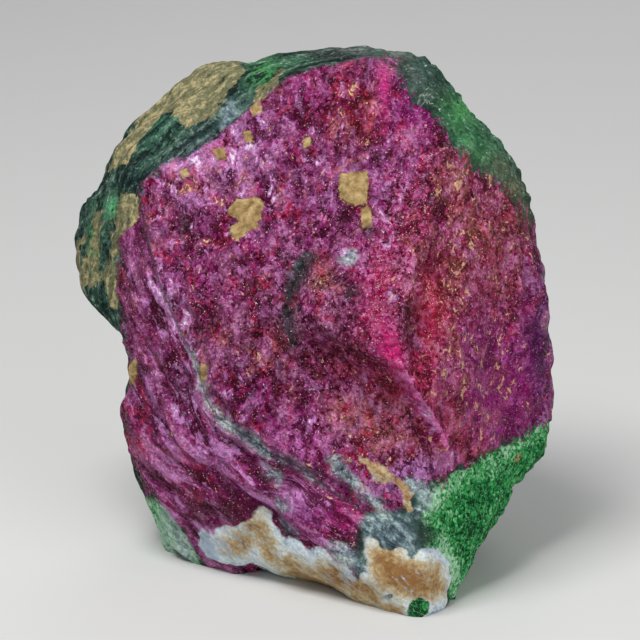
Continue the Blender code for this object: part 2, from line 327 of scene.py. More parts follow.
# Patches behind the ruby face: stretch, noises as (size, height, pattern), level and slope.
RUBY_WINDOWS = ((0.8, 1.0, 1.5), ((12.0, 1.0, 51), (4.0, 0.5, 52), (1.6, 0.25, 53)), 0.5, 6.0)
TAN_WINDOWS = ((0.5, 0.7, 1.8), ((11.0, 1.0, 24), (4.0, 0.5, 25), (1.8, 0.25, 26)), 0.5, 5.0)

# The wedge on the right, a strip at the lower left and a spot in the crust.
GREEN_AREAS = (
    (
        (12.8, -18.0), (14.3, -17.3), (29.1, -8.6), (30.8, -17.6), (19.8, -37.4), (13.2, -36.3),
        (14.3, -31.0), (14.4, -28.3), (13.4, -26.0), (11.6, -24.8), (11.3, -21.4),
    ),
    (
        (-19.5, -19.1), (-18.5, -19.4), (-16.2, -21.7), (-15.2, -22.9), (-12.7, -27.3), (-14.8, -29.7),
        (-20.9, -26.4), (-21.4, -19.6),
    ),
    ((9.9, -30.7), (11.0, -30.5), (12.0, -31.0), (12.3, -32.0), (11.0, -33.0), (9.6, -32.3)),
)
CRUST_AREAS = (
    (
        (4.4, -15.1), (6.5, -15.9), (8.9, -17.5), (10.6, -19.0), (10.0, -19.5), (9.9, -20.4), (10.1, -21.0),
        (9.3, -20.7), (8.9, -20.0), (9.0, -19.0), (8.1, -18.1), (7.0, -18.0), (6.2, -17.5),
    ),
    (
        (-13.5, -23.0), (-12.8, -22.3), (-11.3, -23.0), (-8.9, -22.6), (-8.7, -22.0), (-7.5, -21.3),
        (-6.5, -21.3), (-5.6, -22.1), (-5.3, -23.3), (-4.0, -24.2), (-1.2, -25.0), (0.4, -25.0),
        (0.9, -25.9), (4.2, -28.3), (5.2, -27.4), (4.5, -25.0), (5.0, -24.0), (6.2, -24.0), (6.9, -25.0),
        (9.0, -25.2), (10.2, -26.2), (10.9, -25.4), (11.9, -24.8), (13.1, -25.0), (13.9, -26.2),
        (14.4, -28.3), (14.2, -30.0), (13.8, -31.4), (13.2, -36.3), (7.2, -37.4), (2.2, -33.5),
        (-2.2, -30.8), (-4.8, -28.3), (-6.3, -27.3), (-7.8, -26.7), (-9.2, -27.1), (-10.8, -26.7),
        (-12.3, -26.1), (-13.3, -24.8),
    ),
)
# Stained middles of the crust: tan along their borders and brown inside.
STAIN_AREAS = (
    (
        (3.5, -14.7), (6.7, -15.6), (9.1, -17.2), (11.0, -19.0), (10.3, -19.7), (10.2, -20.5),
        (10.6, -21.4), (9.0, -21.1), (8.5, -20.1), (8.7, -19.1), (8.5, -18.7), (6.8, -18.4), (5.1, -16.9),
        (4.6, -15.9),
    ),
    (
        (-8.2, -22.0), (-7.3, -21.6), (-6.3, -21.8), (-5.6, -24.6), (-4.8, -25.9), (-3.2, -26.2),
        (-2.2, -26.6), (-2.4, -27.4), (-4.0, -27.1), (-5.4, -26.2), (-6.3, -25.2), (-6.5, -24.2),
        (-7.3, -23.3), (-8.2, -23.0),
    ),
    ((-10.6, -23.8), (-8.7, -23.3), (-7.5, -23.8), (-7.7, -24.6), (-8.7, -25.4), (-10.1, -25.2)),
    (
        (0.2, -26.6), (1.9, -26.2), (2.9, -27.4), (5.0, -28.5), (6.2, -29.5), (6.9, -30.7), (6.2, -31.1),
        (5.0, -30.5), (0.9, -28.9), (-0.3, -27.6),
    ),
    (
        (5.3, -24.9), (7.9, -24.8), (10.2, -26.4), (11.9, -26.6), (13.1, -27.3), (13.9, -29.5),
        (12.9, -30.2), (10.7, -30.7), (9.0, -30.5), (6.2, -28.3), (5.4, -26.6),
    ),
    ((6.2, -30.9), (9.0, -31.5), (8.8, -32.6), (7.2, -32.3)),
    (
        (-3.3, -26.4), (-0.2, -27.7), (2.8, -29.7), (5.5, -31.0), (6.6, -32.1), (5.7, -32.6), (-1.6, -28.8),
        (-3.9, -27.5),
    ),
)
VEIN_AREAS = (
    ((6.9, -30.1), (7.7, -29.9), (8.2, -30.5), (7.7, -30.9), (6.9, -30.7)),
    (
        (0.9, -15.1), (2.1, -15.1), (3.5, -16.8), (6.2, -19.5), (6.9, -19.9), (6.9, -20.7), (5.7, -20.4),
        (4.2, -18.9), (1.3, -16.8),
    ),
    (
        (9.5, -17.4), (11.0, -17.5), (12.2, -18.4), (12.4, -19.5), (11.8, -20.7), (11.0, -22.0),
        (9.2, -21.6), (10.3, -20.9), (10.7, -19.8), (10.3, -18.9), (9.2, -18.3),
    ),
    (
        (4.2, -22.4), (5.1, -21.1), (6.6, -20.8), (8.6, -21.1), (9.9, -22.0), (11.0, -24.6), (10.3, -26.0),
        (6.9, -25.2), (6.2, -24.2), (5.0, -24.0),
    ),
    ((0.4, -24.6), (2.9, -24.8), (4.2, -25.6), (5.2, -26.6), (5.0, -28.3), (2.9, -27.4), (1.5, -26.2)),
    ((-7.0, -15.3), (-5.9, -15.8), (-4.3, -17.3), (-4.7, -18.3), (-5.8, -17.2)),
    ((3.1, 7.7), (4.2, 7.3), (3.7, 6.3), (2.5, 5.8), (2.1, 6.6)),
    ((-4.8, -19.6), (-4.0, -19.8), (-3.4, -20.7), (-4.2, -20.7)),
    ((-4.6, -22.4), (-3.3, -22.9), (-2.6, -23.8), (-4.0, -23.4)),
    ((-10.8, 23.3), (-9.7, 24.2), (-9.2, 22.9), (-9.9, 21.6), (-11.0, 21.3)),
    ((-17.6, -20.5), (-15.6, -22.7), (-13.2, -27.1), (-14.3, -27.7), (-16.8, -23.1), (-17.6, -21.3)),
    ((-2.5, 6.6), (-1.8, 7.3), (-0.9, 7.3), (-3.3, 4.0), (-3.2, 5.5)),
)
# Small places inside the crust that show green or grey.
CRUST_HOLES = (*GREEN_AREAS[1:], VEIN_AREAS[0])
# Grey seam: the line between the ruby face and the layered band, and its half-width by height.
SEAM = (
    (-23.3, 28.6), (-20.9, 18.7), (-19.1, 8.8), (-17.8, 4.1), (-15.4, -1.6), (-14.0, -4.0), (-12.2, -9.2),
    (-11.1, -10.6), (-9.7, -11.7), (-8.1, -12.5), (-5.3, -14.7), (-2.2, -16.2), (0.6, -18.3), (8.8, -23.6),
    (17.6, -30.8),
)
SEAM_WIDTHS = (
    (-30.8, -0.5), (-19.8, -0.4), (-17.6, 0.0), (-14.3, 0.5), (-12.5, 0.6), (-9.2, 0.15), (-7.5, 0.25),
    (-3.3, 0.15), (-1.1, -0.05), (2.2, -0.3), (24.2, -0.5),
)
TAN_PATCHES = (
    ((2.1, 16.2), (5.2, 16.2), (5.3, 14.3), (5.1, 12.7), (3.7, 12.5), (2.6, 13.0), (2.1, 14.1)),
    (
        (-10.4, 12.2), (-9.1, 13.1), (-6.4, 13.4), (-6.4, 12.0), (-6.9, 10.2), (-9.2, 8.6), (-10.1, 9.5),
        (-10.0, 10.2), (-9.0, 10.9), (-10.0, 11.6),
    ),
    ((-11.8, 18.5), (-10.6, 18.8), (-10.2, 17.6), (-11.3, 17.3)),
    ((-2.0, 20.1), (-1.2, 20.4), (-1.0, 19.2), (-1.9, 18.9)),
    ((-7.8, 23.4), (-6.7, 23.9), (-6.4, 22.7), (-7.5, 22.2)),
    ((4.6, 12.3), (5.5, 12.4), (5.8, 11.4), (5.6, 10.1), (4.7, 10.0), (4.4, 11.1)),
    ((-21.1, -4.7), (-20.4, -4.2), (-20.0, -5.7), (-20.7, -7.2), (-21.3, -6.8)),
    ((-15.6, 16.3), (-14.7, 16.7), (-14.3, 15.6), (-15.2, 15.4)),
    ((-12.9, -4.6), (-12.3, -5.1), (-12.5, -6.6), (-13.1, -7.0), (-13.3, -5.7)),
    ((21.6, -14.5), (22.1, -14.8), (22.0, -15.7), (21.4, -15.6)),
    ((-8.6, 20.6), (-7.7, 20.8), (-7.4, 19.8), (-8.2, 19.4)),
)
# Tan patches end level with the heart, and fade in by so much for each millimetre before it.
TAN_PATCH_REACH = 0.5
RIND_TANS = (
    (
        (-23.5, 16.9), (-22.7, 19.1), (-20.2, 23.5), (-16.9, 27.3), (-12.5, 29.7), (-9.9, 29.5),
        (-8.6, 28.6), (-8.6, 27.3), (-9.2, 25.3), (-10.3, 24.6), (-11.2, 23.1), (-12.5, 21.9),
        (-14.0, 21.3), (-15.8, 21.7), (-16.1, 22.6), (-16.9, 22.8), (-18.4, 21.7), (-19.5, 20.2),
        (-20.9, 17.7), (-21.4, 17.2),
    ),
    (
        (-21.7, 13.9), (-20.0, 13.3), (-20.1, 10.8), (-22.2, 8.8), (-21.9, 7.7), (-22.9, 6.4), (-22.2, 5.3),
        (-22.1, 0.9), (-23.1, 1.5), (-24.4, 4.6), (-24.0, 6.4), (-23.1, 8.0), (-22.7, 11.0),
    ),
    ((-24.9, 12.5), (-24.1, 12.1), (-24.2, 9.7), (-25.0, 3.7), (-25.7, 3.7), (-25.5, 7.7)),
    ((-7.5, 24.6), (-6.4, 26.0), (-4.2, 27.5), (-4.6, 26.0), (-5.9, 24.4), (-7.0, 23.8)),
)
DARK_AREAS = (
    (
        (-0.7, 7.7), (-2.0, 7.0), (-3.1, 5.6), (-4.0, 3.4), (-4.4, 1.1), (-4.3, -1.5), (-3.4, -3.3),
        (-2.4, -2.6), (-3.0, -0.2), (-3.0, 2.0), (-1.2, 5.6), (-0.2, 6.8),
    ),
    (
        (10.8, -22.9), (10.6, -22.0), (11.4, -22.0), (12.8, -23.1), (13.0, -24.2), (11.7, -24.9),
        (10.8, -24.2),
    ),
    ((4.8, 9.7), (5.5, 10.3), (6.2, 9.7), (5.5, 8.6)),
    ((2.5, 3.5), (3.4, 3.7), (3.6, 2.8), (2.9, 2.2)),
    ((3.5, -23.8), (4.6, -23.1), (5.1, -24.2), (4.8, -25.5), (3.7, -24.9)),
)

# --- Tones: across, up, half sizes, turn, red, green, blue and strength ---

RIND_BASE = (44, 72, 62)
RIND_TONES = (
    (-22.8, 12.3, 1.1, 1.3, 0, 95, 185, 120, 0.9), (-25.1, 8.2, 0.6, 3.1, -6, 95, 190, 110, 0.9),
    (-6.4, 27.3, 2.2, 1.5, 30, 60, 140, 72, 0.9), (-2.2, 28.6, 2.2, 0.7, 15, 60, 130, 80, 0.6),
    (2.2, 29.5, 4.8, 1.0, 3, 58, 62, 62, 0.9), (3.5, 29.7, 2.2, 0.4, 3, 122, 126, 122, 0.7),
    (8.8, 29.0, 1.8, 0.9, -20, 118, 126, 118, 0.8), (-8.8, 23.1, 2.0, 1.5, 40, 110, 130, 128, 0.6),
    (10.8, -22.9, 2.6, 3.1, 0, 52, 84, 68, 0.95), (-13.5, 20.0, 5.1, 1.2, 33, 28, 44, 48, 0.9),
    (-14.5, 18.7, 3.3, 0.4, 33, 120, 136, 134, 0.6), (-16.5, 19.8, 3.3, 0.6, 38, 88, 128, 104, 0.6),
    (-20.9, 15.2, 1.1, 1.3, 0, 12, 32, 32, 0.95), (-10.8, 24.6, 1.3, 2.6, -40, 22, 44, 42, 0.8),
    (-17.8, 21.1, 2.2, 0.9, 40, 50, 110, 84, 0.7), (9.9, 26.6, 2.0, 1.2, -40, 84, 92, 90, 0.9),
    (11.9, 23.1, 1.0, 1.8, -40, 26, 38, 34, 0.85), (9.2, 27.3, 0.7, 1.5, 10, 22, 34, 30, 0.8),
    (13.2, 24.2, 1.5, 1.1, -30, 34, 60, 46, 0.9), (11.4, 24.4, 1.1, 0.9, -30, 52, 64, 58, 0.9),
    (17.4, 19.1, 2.0, 4.0, 38, 80, 146, 92, 0.95), (15.4, 22.9, 1.5, 2.0, 38, 70, 146, 78, 0.95),
    (17.4, 20.0, 0.6, 2.2, 38, 30, 80, 52, 0.8), (19.8, 16.7, 1.4, 1.8, 38, 92, 98, 78, 0.85),
    (21.1, 14.3, 1.5, 1.3, 40, 112, 108, 84, 0.9), (22.4, 11.7, 1.1, 2.2, 20, 104, 104, 78, 0.85),
    (-24.2, 0.0, 1.5, 2.4, 20, 20, 60, 44, 0.9),
)
# Broad tones behind the ruby, as colour and patch.
BACK_TONES = (
    ((66, 134, 84), ((0.6, 1.0, 1.4), ((12.0, 1.0, 27), (4.0, 0.5, 28)), 0.12, 4.0)),
    ((14, 24, 24), ((0.5, 0.8, 1.6), ((8.0, 1.0, 29), (3.0, 0.6, 30)), 0.3, 5.0)),
    ((112, 124, 112), ((0.6, 1.0, 1.8), ((7.0, 1.0, 31), (2.5, 0.6, 32)), 0.5, 5.0)),
)
BACK_FADE = 8.0
RUBY_BASE = (126, 46, 98)
# Some ruby tones are painted light: the pale tones along the lower crest at (11.2, -9.3) and (13.3, -13.2),
# the pink stripe below the top rim at (7.0, 25.5) and the bright tone at the crest's foot at (8.0, -3.5),
# brightened against the shade it gets, are painted highlights; the dark tone beside the crest at (9.7,
# -0.2) is a painted shadow.
RUBY_TONES = (
    (-11.6, 18.7, 8.8, 6.6, 0, 166, 114, 164, 0.75), (1.1, 23.1, 6.6, 5.5, 0, 150, 58, 100, 0.5),
    (4.0, 22.9, 2.4, 3.3, 0, 130, 14, 34, 0.95), (7.0, 25.5, 0.6, 4.4, 0, 214, 50, 136, 0.8),
    (10.8, 23.3, 2.4, 2.9, 0, 128, 4, 98, 0.95), (6.0, 15.4, 4.0, 4.4, -10, 112, 58, 105, 0.7),
    (9.7, 11.0, 2.6, 5.5, -16, 166, 24, 110, 0.85), (6.4, 2.6, 2.3, 6.2, -8, 170, 0, 66, 0.97),
    (8.0, -3.5, 1.2, 2.9, 14, 250, 30, 140, 0.95), (4.6, 7.7, 1.3, 2.2, 0, 150, 70, 110, 0.6),
    (9.7, -0.2, 0.9, 4.6, 0, 62, 10, 34, 0.95), (1.1, 2.2, 4.4, 5.1, 0, 132, 66, 100, 0.6),
    (0.3, 4.8, 1.2, 1.4, 0, 150, 96, 70, 0.9), (-15.1, 10.3, 0.6, 1.8, 0, 84, 84, 70, 0.7),
    (-18.0, 2.0, 1.1, 2.4, 20, 150, 120, 160, 0.6), (-3.2, 2.6, 0.7, 4.8, 10, 74, 76, 78, 0.75),
    (17.6, 9.3, 5.7, 7.3, 0, 148, 38, 66, 0.9), (12.5, 1.6, 2.6, 5.1, 0, 180, 34, 54, 0.95),
    (19.8, -7.7, 5.7, 6.4, 0, 158, 2, 128, 0.95), (14.8, -7.2, 1.5, 5.5, 10, 160, 60, 84, 0.6),
    (19.8, 4.4, 2.6, 4.8, 0, 168, 56, 84, 0.6), (14.5, 15.8, 2.9, 3.7, -20, 146, 62, 74, 0.7),
    (14.8, 10.4, 1.8, 1.5, 0, 150, 14, 96, 0.7), (24.4, -1.1, 1.0, 11.6, 0, 94, 28, 94, 0.9),
    (11.4, -6.8, 1.3, 3.7, 25, 204, 26, 104, 0.85), (11.6, -2.8, 1.3, 4.4, 0, 160, 20, 58, 0.7),
    (8.4, -8.2, 2.4, 2.4, -20, 170, 44, 60, 0.7), (14.5, -12.1, 2.2, 4.8, 25, 172, 52, 74, 0.75),
    (5.3, -11.2, 6.8, 4.0, -28, 152, 78, 90, 0.9), (3.3, -4.6, 6.8, 1.8, -22, 148, 30, 60, 0.75),
    (-9.0, -0.6, 6.6, 6.2, 0, 118, 50, 80, 0.7), (-18.7, 6.0, 2.6, 7.0, 0, 116, 38, 86, 0.7),
    (-15.4, -11.0, 6.2, 5.5, 0, 146, 58, 122, 0.65), (-9.2, -20.6, 4.2, 1.8, 5, 78, 0, 34, 0.98),
    (-13.5, -20.0, 2.9, 1.6, -35, 76, 4, 40, 0.95), (-0.8, -18.9, 3.7, 0.7, -38, 100, 4, 52, 0.9),
    (2.0, -20.7, 0.9, 0.7, -30, 150, 10, 95, 0.8), (-7.2, -19.1, 1.1, 0.8, -30, 84, 10, 48, 0.8),
    (-8.8, -16.9, 1.3, 0.9, -30, 190, 70, 120, 0.7), (-15.0, -15.0, 1.3, 1.0, -30, 190, 60, 120, 0.6),
    (-19.8, -13.9, 1.3, 1.1, -30, 170, 36, 80, 0.7), (-15.4, -18.7, 2.2, 2.9, -30, 124, 28, 70, 0.6),
    (-2.2, -21.1, 5.7, 2.9, -25, 150, 66, 140, 0.75), (11.2, -9.3, 0.8, 5.1, 33, 240, 88, 180, 0.85),
    (13.3, -13.2, 0.7, 1.3, 30, 240, 60, 170, 0.8), (-1.6, -16.5, 2.9, 1.0, -30, 92, 10, 44, 0.8),
    (-1.6, -14.1, 4.8, 2.6, -20, 190, 100, 172, 0.85), (9.7, -17.2, 4.6, 1.9, 22, 182, 130, 196, 0.85),
    (3.1, -22.4, 2.4, 1.3, -20, 186, 36, 120, 0.8),
)

# --- Shares: across, up, half sizes, turn and strength ---

# Pale flecks, rusty specks, dark grains, and cells with pale outlines. Pale flecks along the lower
# crest are a painted highlight, and dark grains under the nose and beside the crest are painted shade.
PALE_SHARES = (
    (-11.0, -24.9, 2.9, 2.4, 0, 0.9), (2.2, -26.6, 3.7, 2.2, -35, 0.9), (-17.6, 25.7, 4.4, 1.1, 45, 0.9),
    (-18.0, 1.8, 1.3, 3.3, 20, 1.4), (3.1, 7.0, 1.3, 0.9, -30, 1.4), (5.9, -21.6, 1.8, 1.1, 0, 0.7),
    (-9.9, -15.6, 6.6, 1.8, -35, 0.45), (11.4, -19.1, 1.8, 1.5, 0, 1.0), (-14.7, -2.8, 1.3, 5.5, 10, 1.0),
    (-16.3, -23.1, 2.9, 4.8, 0, 1.0), (-11.6, 18.7, 9.9, 7.3, 0, 0.9), (1.1, 14.3, 6.6, 6.6, 0, 0.45),
    (-18.1, 3.3, 3.7, 9.9, 0, 0.55), (-14.3, -11.0, 6.6, 7.7, 0, 0.7), (-2.2, -19.8, 7.7, 4.4, -25, 0.65),
    (-2.2, -11.6, 5.5, 2.9, -25, 0.4), (8.2, 13.2, 2.2, 5.5, -10, 0.55), (9.7, -16.9, 5.5, 1.5, 20, 0.4),
    # The share at (11.4, -9.8), along the lower crest, is a painted highlight.
    (11.4, -9.8, 0.7, 4.8, 34, 1.0), (14.0, -26.0, 1.0, 2.9, 10, 1.0), (17.8, -17.4, 4.4, 1.0, 27, 0.15),
    (8.2, 2.2, 2.4, 6.6, 0, 0.35),
)
RUST_SHARES = (
    (13.2, 2.2, 3.3, 5.5, 0, 0.3), (0.3, 4.7, 1.1, 1.3, 0, 0.8), (-12.7, 8.6, 0.9, 1.1, 0, 0.9),
    (-14.6, 14.3, 1.0, 0.8, 20, 0.9), (17.6, 9.9, 6.6, 7.7, 0, 0.7), (14.5, 15.8, 2.9, 3.7, -20, 0.5),
    (18.0, -7.2, 4.8, 6.6, 0, 1.15), (3.9, 22.6, 2.9, 3.3, 0, 0.6), (-10.4, 14.8, 7.7, 4.4, 0, 0.4),
    (5.5, -13.2, 6.6, 3.3, -28, 0.7), (-17.6, 7.7, 2.4, 4.4, 0, 0.3), (-8.2, -1.1, 6.6, 6.6, 0, 0.2),
)
# Dark grains and painted shade: the shares at (3.3, -5.0) and (2.6, -3.4) under the nose and at (9.7, -1.1)
# beside the crest are painted shadow; the others are dark grains.
DARK_GRAIN_AND_SHADE_SHARES = (
    (-11.7, 23.5, 2.2, 1.5, 20, 0.9), (-2.8, -17.4, 3.7, 1.0, -35, 0.9), (-9.5, -20.8, 3.3, 1.4, -4, 0.8),
    (11.0, -31.5, 1.5, 1.3, 0, 1.0), (3.3, -5.0, 7.3, 2.2, -22, 0.3), (2.6, -3.4, 5.7, 1.0, 29, 0.7),
    (-16.5, -6.6, 5.1, 6.6, 0, 0.2), (9.7, -1.1, 1.3, 5.1, 0, 0.6), (22.0, -8.8, 4.4, 6.6, 0, 0.2),
    (-2.2, -18.7, 6.6, 2.6, -28, 0.55), (13.2, 11.6, 1.1, 6.6, -8, 0.3),
)
CELL_SHARES = (
    (7.5, 4.4, 2.6, 7.7, -8, 1.0), (9.3, 13.2, 2.4, 4.4, -10, 0.8), (0.0, 2.2, 5.5, 6.6, 0, 0.5),
    (14.8, 2.2, 7.7, 12.1, 0, 0.25),
)
# Glassy ruby, whose grains hardly show.
GLASS_SHARES = (
    (8.0, -3.5, 1.2, 2.9, 14, 1.0), (12.1, 1.6, 1.8, 4.4, 0, 0.7), (15.2, 1.1, 4.0, 5.5, 0, 0.35),
    (19.8, -8.2, 5.1, 4.8, 0, 0.8), (10.8, 23.3, 2.2, 2.6, 0, 0.5), (7.0, 25.1, 0.8, 4.8, 0, 0.8),
    (-9.5, -20.7, 3.7, 1.4, 5, 1.0), (6.2, 2.4, 1.5, 4.0, -8, 0.8), (-0.8, -18.9, 3.7, 1.1, -38, 0.7),
    (23.3, -1.1, 1.1, 7.7, 0, 0.7),
)

# --- Material ---

# Turn of the streaks in the crust, from the right downwards.
CRUST_TURN = 35.0
# Inputs and output of a Mix node that mixes numbers, and of one that mixes colours.
MIX_NUMBERS = ((0, 2, 3), 0)
MIX_COLOURS = ((0, 6, 7), 2)
# The curve between display colours and linear light: its straight foot, then a power.
FOOT_END = 0.04045
FOOT_SLOPE = 12.92
CURVE_SHIFT = 0.055
CURVE_POWER = 2.4
# Borders between minerals: how far noise moves each one and how soft it is, in mm.
BORDERS = {
    "ruby_inside": (2.4, 0.3),
    "green_inside": (2.6, 0.3),
    "crust_inside": (1.8, 0.15),
    "vein_inside": (2.2, 0.6),
    "tan_inside": (1.1, 0.1),
    "rind_tan_inside": (2.6, 0.12),
    "dark_inside": (2.6, 0.8),
}
# Streaks: their sizes across, deep and up, in mm.
RIND_STREAKS = (6.0, 1.0, 6.0)
TAN_STREAKS = (3.4, 1.0, 3.4)
CRUST_STREAKS = (2.8, 1.2, 0.7)
VEIN_STREAKS = (2.4, 1.2, 0.8)
# Grains: their size, and the size and strength of the noise that makes their borders uneven.
SMALL_GRAINS = (0.3, 0.6, 0.5)
LARGE_GRAINS = (0.95, 1.1, 0.9)
CELLS = (1.25, 0.8, 0.9)
# Specular level of the stone.
STONE_GLOSS = 0.1

# --- Camera, light and floor ---

# Width of the camera's sensor, and of the frame at the heart's distance.
SENSOR = 36.0
FRAME_WIDTH = 70.4
# Nearest distance that the camera sees and side of the floor, in metres.
NEAREST_SEEN = 0.01
FLOOR_SIZE = 4.0
FLOOR_ROUGHNESS = 0.8
# Soft lights: name, place in metres, width in metres and share of the main light's power.
LAMPS = (
    ("key", (-0.10, -0.10, 0.34), 0.16, 1.2),
    ("fill", (0.30, -0.28, 0.20), 0.3, 0.5),
    ("low", (0.28, -0.62, 0.20), 0.3, 0.8),
    ("back", (0.12, 0.40, 0.32), 0.3, 0.5),
)
WORLD_COLOUR = (0.8, 0.82, 0.85)
WORLD_STRENGTH = 0.35


# --- Shape of the stone, worked out as for the solid ---


def smooth_step(x):
    """0 below 0, 1 above 1, with a smooth rise between."""
    x = np.clip(x, 0.0, 1.0)
    return x * x * (3.0 - 2.0 * x)


def bell(x):
    """1 at zero, falling to nothing at about 2."""
    return np.exp(-x * x)


def corner_values(i, j, k):
    """A fixed value from -1 to 1 for each corner of a lattice: its scrambled low bits."""
    across, up, out = CORNER_PRIMES
    n = (i * across + j * up + k * out) & LOW_32_BITS
    n = ((n ^ (n >> 13)) * SCRAMBLE_PRIME) & LOW_32_BITS
    return ((n ^ (n >> 16)) & LOW_16_BITS) / HALF_RANGE - 1.0


def noise(points, size, pattern):
    """Smooth bumps from -1 to 1, about as wide as size: corner values mixed by nearness."""
    place = np.ascontiguousarray(points.T) / size + pattern * PATTERN_STEP
    cell = np.floor(place).astype(np.int64)
    part = place - cell
    part = part * part * part * (part * (part * 6.0 - 15.0) + 10.0)
    near = (1.0 - part, part)
    total = np.zeros(len(points))
    for i, j, k in np.ndindex(2, 2, 2):
        nearness = near[i][0] * near[j][1] * near[k][2]
        total += nearness * corner_values(cell[0] + i, cell[1] + j, cell[2] + k)
    return total


def bumps(points, table):
    """The sum of several noises, each given as (size, height, pattern)."""
    return sum(height * noise(points, size, pattern) for size, height, pattern in table)


def facing(turn, tip):
    """The unit vector (across, up, out) that is turned to the right and tipped up."""
    turn = math.radians(turn)
    tip = math.radians(tip)
    level = math.cos(tip)
    return np.array((math.sin(turn) * level, math.sin(tip), math.cos(turn) * level))


def round_table(table, angle):
    """Values of a table of (angle, value) at any angle in degrees."""
    angles, values = np.array(table, float).T
    return np.interp(angle, angles, values, period=360.0)


def outline_at(angle):
    """Distance of the outline from the heart, with its corners rounded a little."""
    before = round_table(OUTLINE, angle - OUTLINE_ROUNDING)
    after = round_table(OUTLINE, angle + OUTLINE_ROUNDING)
    return OUTLINE_SWELL * (before + 2.0 * round_table(OUTLINE, angle) + after) / 4.0


def outline_pulls(directions):
    """How near the outline is in each direction, as 1/radius, in front of and behind the waist."""
    level = np.hypot(directions[:, 0], directions[:, 1])
    angle = np.degrees(np.arctan2(directions[:, 1], directions[:, 0]))
    radius = outline_at(angle)
    waist = round_table(WAIST, angle)
    out = directions[:, 2]
    seen = 1.0 / VIEW_DISTANCE
    front = (level / radius + (WAIST_TAPER + seen) * out) / (1.0 + WAIST_TAPER * waist)
    behind = (level / radius - (WAIST_TAPER - seen) * out) / (1.0 - WAIST_TAPER * waist)
    return [front, behind]


def broken_radius(directions):
    """Radius of the stone with flat faces only, its edges slightly rounded."""
    pulls = outline_pulls(directions)
    for turn, tip, distance in FACES:
        pulls.append(directions @ facing(turn, tip) / distance)
    pulls = np.clip(np.array(pulls), 1e-4, None)
    most = pulls.max(axis=0)
    total = ((pulls / most) ** EDGE_SHARPNESS).sum(axis=0)
    return 1.0 / (most * total ** (1.0 / EDGE_SHARPNESS))


def seen_at(points):
    """Where each point is seen from the front, as (across, up) at the heart's distance."""
    nearer = VIEW_DISTANCE / (VIEW_DISTANCE - points[:, 2])
    return points[:, :2] * nearer[:, None]


def along_line(points, places):
    """Distance from a line of points, the side (+1 on its right) and how far along, 0 to 1."""
    corners = np.array(points)
    lengths = np.linalg.norm(np.diff(corners, axis=0), axis=1)
    distance = np.full(len(places), np.inf)
    side = np.zeros(len(places))
    along = np.zeros(len(places))
    passed = 0.0
    for start, end, length in zip(corners[:-1], corners[1:], lengths):
        step = (end - start) / length
        offset = places - start
        reach = np.clip(offset @ step, 0.0, length)
        gap = np.linalg.norm(offset - reach[:, None] * step, axis=1)
        nearer = gap < distance
        turn = offset[:, 0] * step[1] - offset[:, 1] * step[0]
        distance = np.where(nearer, gap, distance)
        side = np.where(nearer, np.sign(turn), side)
        along = np.where(nearer, (passed + reach) / lengths.sum(), along)
        passed += length
    return distance, side, along


def end_fade(line, along):
    """1 along a line, with a smooth fall to 0 at both of its ends."""
    start, end = line.fade
    return smooth_step(along / start) * smooth_step((1.0 - along) / end)


def line_height(line, places):
    """Height of one groove, ridge or step of the front."""
    distance, side, along = along_line(line.points, places)
    depth, width = line.groove
    rise = np.where(side < 0.0, *line.rise) * smooth_step(distance / STEP_WIDTH)
    height = rise * bell(distance / line.reach) - depth * bell(distance / width)
    return height * end_fade(line, along)


def mound_height(mound, places):
    """Height of a round hollow or lump of the front, or the share of a soft round spot."""
    across, up, half_across, half_up, turn, height = mound
    turn = math.radians(turn)
    offset = places - np.array((across, up))
    x = offset[:, 0] * math.cos(turn) + offset[:, 1] * math.sin(turn)
    y = offset[:, 1] * math.cos(turn) - offset[:, 0] * math.sin(turn)
    return height * bell(np.hypot(x / half_across, y / half_up))


def scoop_height(scoop, directions):
    """Height of one shallow scoop, or of a swelling if its depth is negative."""
    turn, tip, half_width, depth = scoop
    away = np.degrees(np.arccos(np.clip(directions @ facing(turn, tip), -1.0, 1.0)))
    return -depth * bell(away / half_width)


def ledges(amount):
    """A repeated ledge: a slow rise and a quick drop, from -0.5 to 0.5."""
    part = amount - np.floor(amount)
    return np.minimum(part / (1.0 - LAYER_DROP), (1.0 - part) / LAYER_DROP) - 0.5


def layer_height(points):
    """Ledges of thin layers that wrap the ruby, and the folds down the right edge."""
    across, up, out = points.T
    warp = bumps(points, LAYER_WARP)
    worn = smooth_step(LAYER_WEAR_MEAN + bumps(points, LAYER_WEAR))
    outside = smooth_step((LAYER_FRONT + warp - out) / LAYER_FADE)
    side = smooth_step((across - RUBY_SIDE_START) / RUBY_SIDE_FADE)
    side = side * smooth_step((RUBY_SIDE_TOP - up) / RUBY_SIDE_FADE)
    layers = LAYER_HEIGHT * ledges((out + warp) / LAYER_SPACING) * outside
    folds = FOLD_HEIGHT * ledges((out + FOLD_WARP * warp) / FOLD_SPACING)
    folds = folds * bell((across - FOLD_CENTRE) / FOLD_WIDTH)
    return worn * (layers * (1.0 - side) + folds * side)


def stone_points(directions):
    """The surface point of the stone in each direction, in the view frame."""
    flat = directions * broken_radius(directions)[:, None]
    places = seen_at(flat)
    height = sum(line_height(line, places) for line in LINES)
    height = height + sum(mound_height(mound, places) for mound in MOUNDS)
    fade_start, fade_end = FRONT_FADE
    height = height * smooth_step((directions[:, 2] - fade_start) / (fade_end - fade_start))
    height = height + sum(scoop_height(scoop, directions) for scoop in SCOOPS)
    height = height + layer_height(flat) + bumps(flat, BUMPS)
    return flat + directions * height[:, None]


def stand_up(points):
    """Turns points of the view frame to the stone's own frame and cuts its base level."""
    tilt = math.radians(VIEW_TILT)
    x = points[:, 0] + HEART_SHIFT[0]
    y = points[:, 1] * math.sin(tilt) - points[:, 2] * math.cos(tilt) + HEART_SHIFT[1]
    z = points[:, 1] * math.cos(tilt) + points[:, 2] * math.sin(tilt) + HEART_HEIGHT
    return np.stack((x, y, np.maximum(z, 0.0)), axis=1)


# --- Areas of the front ---


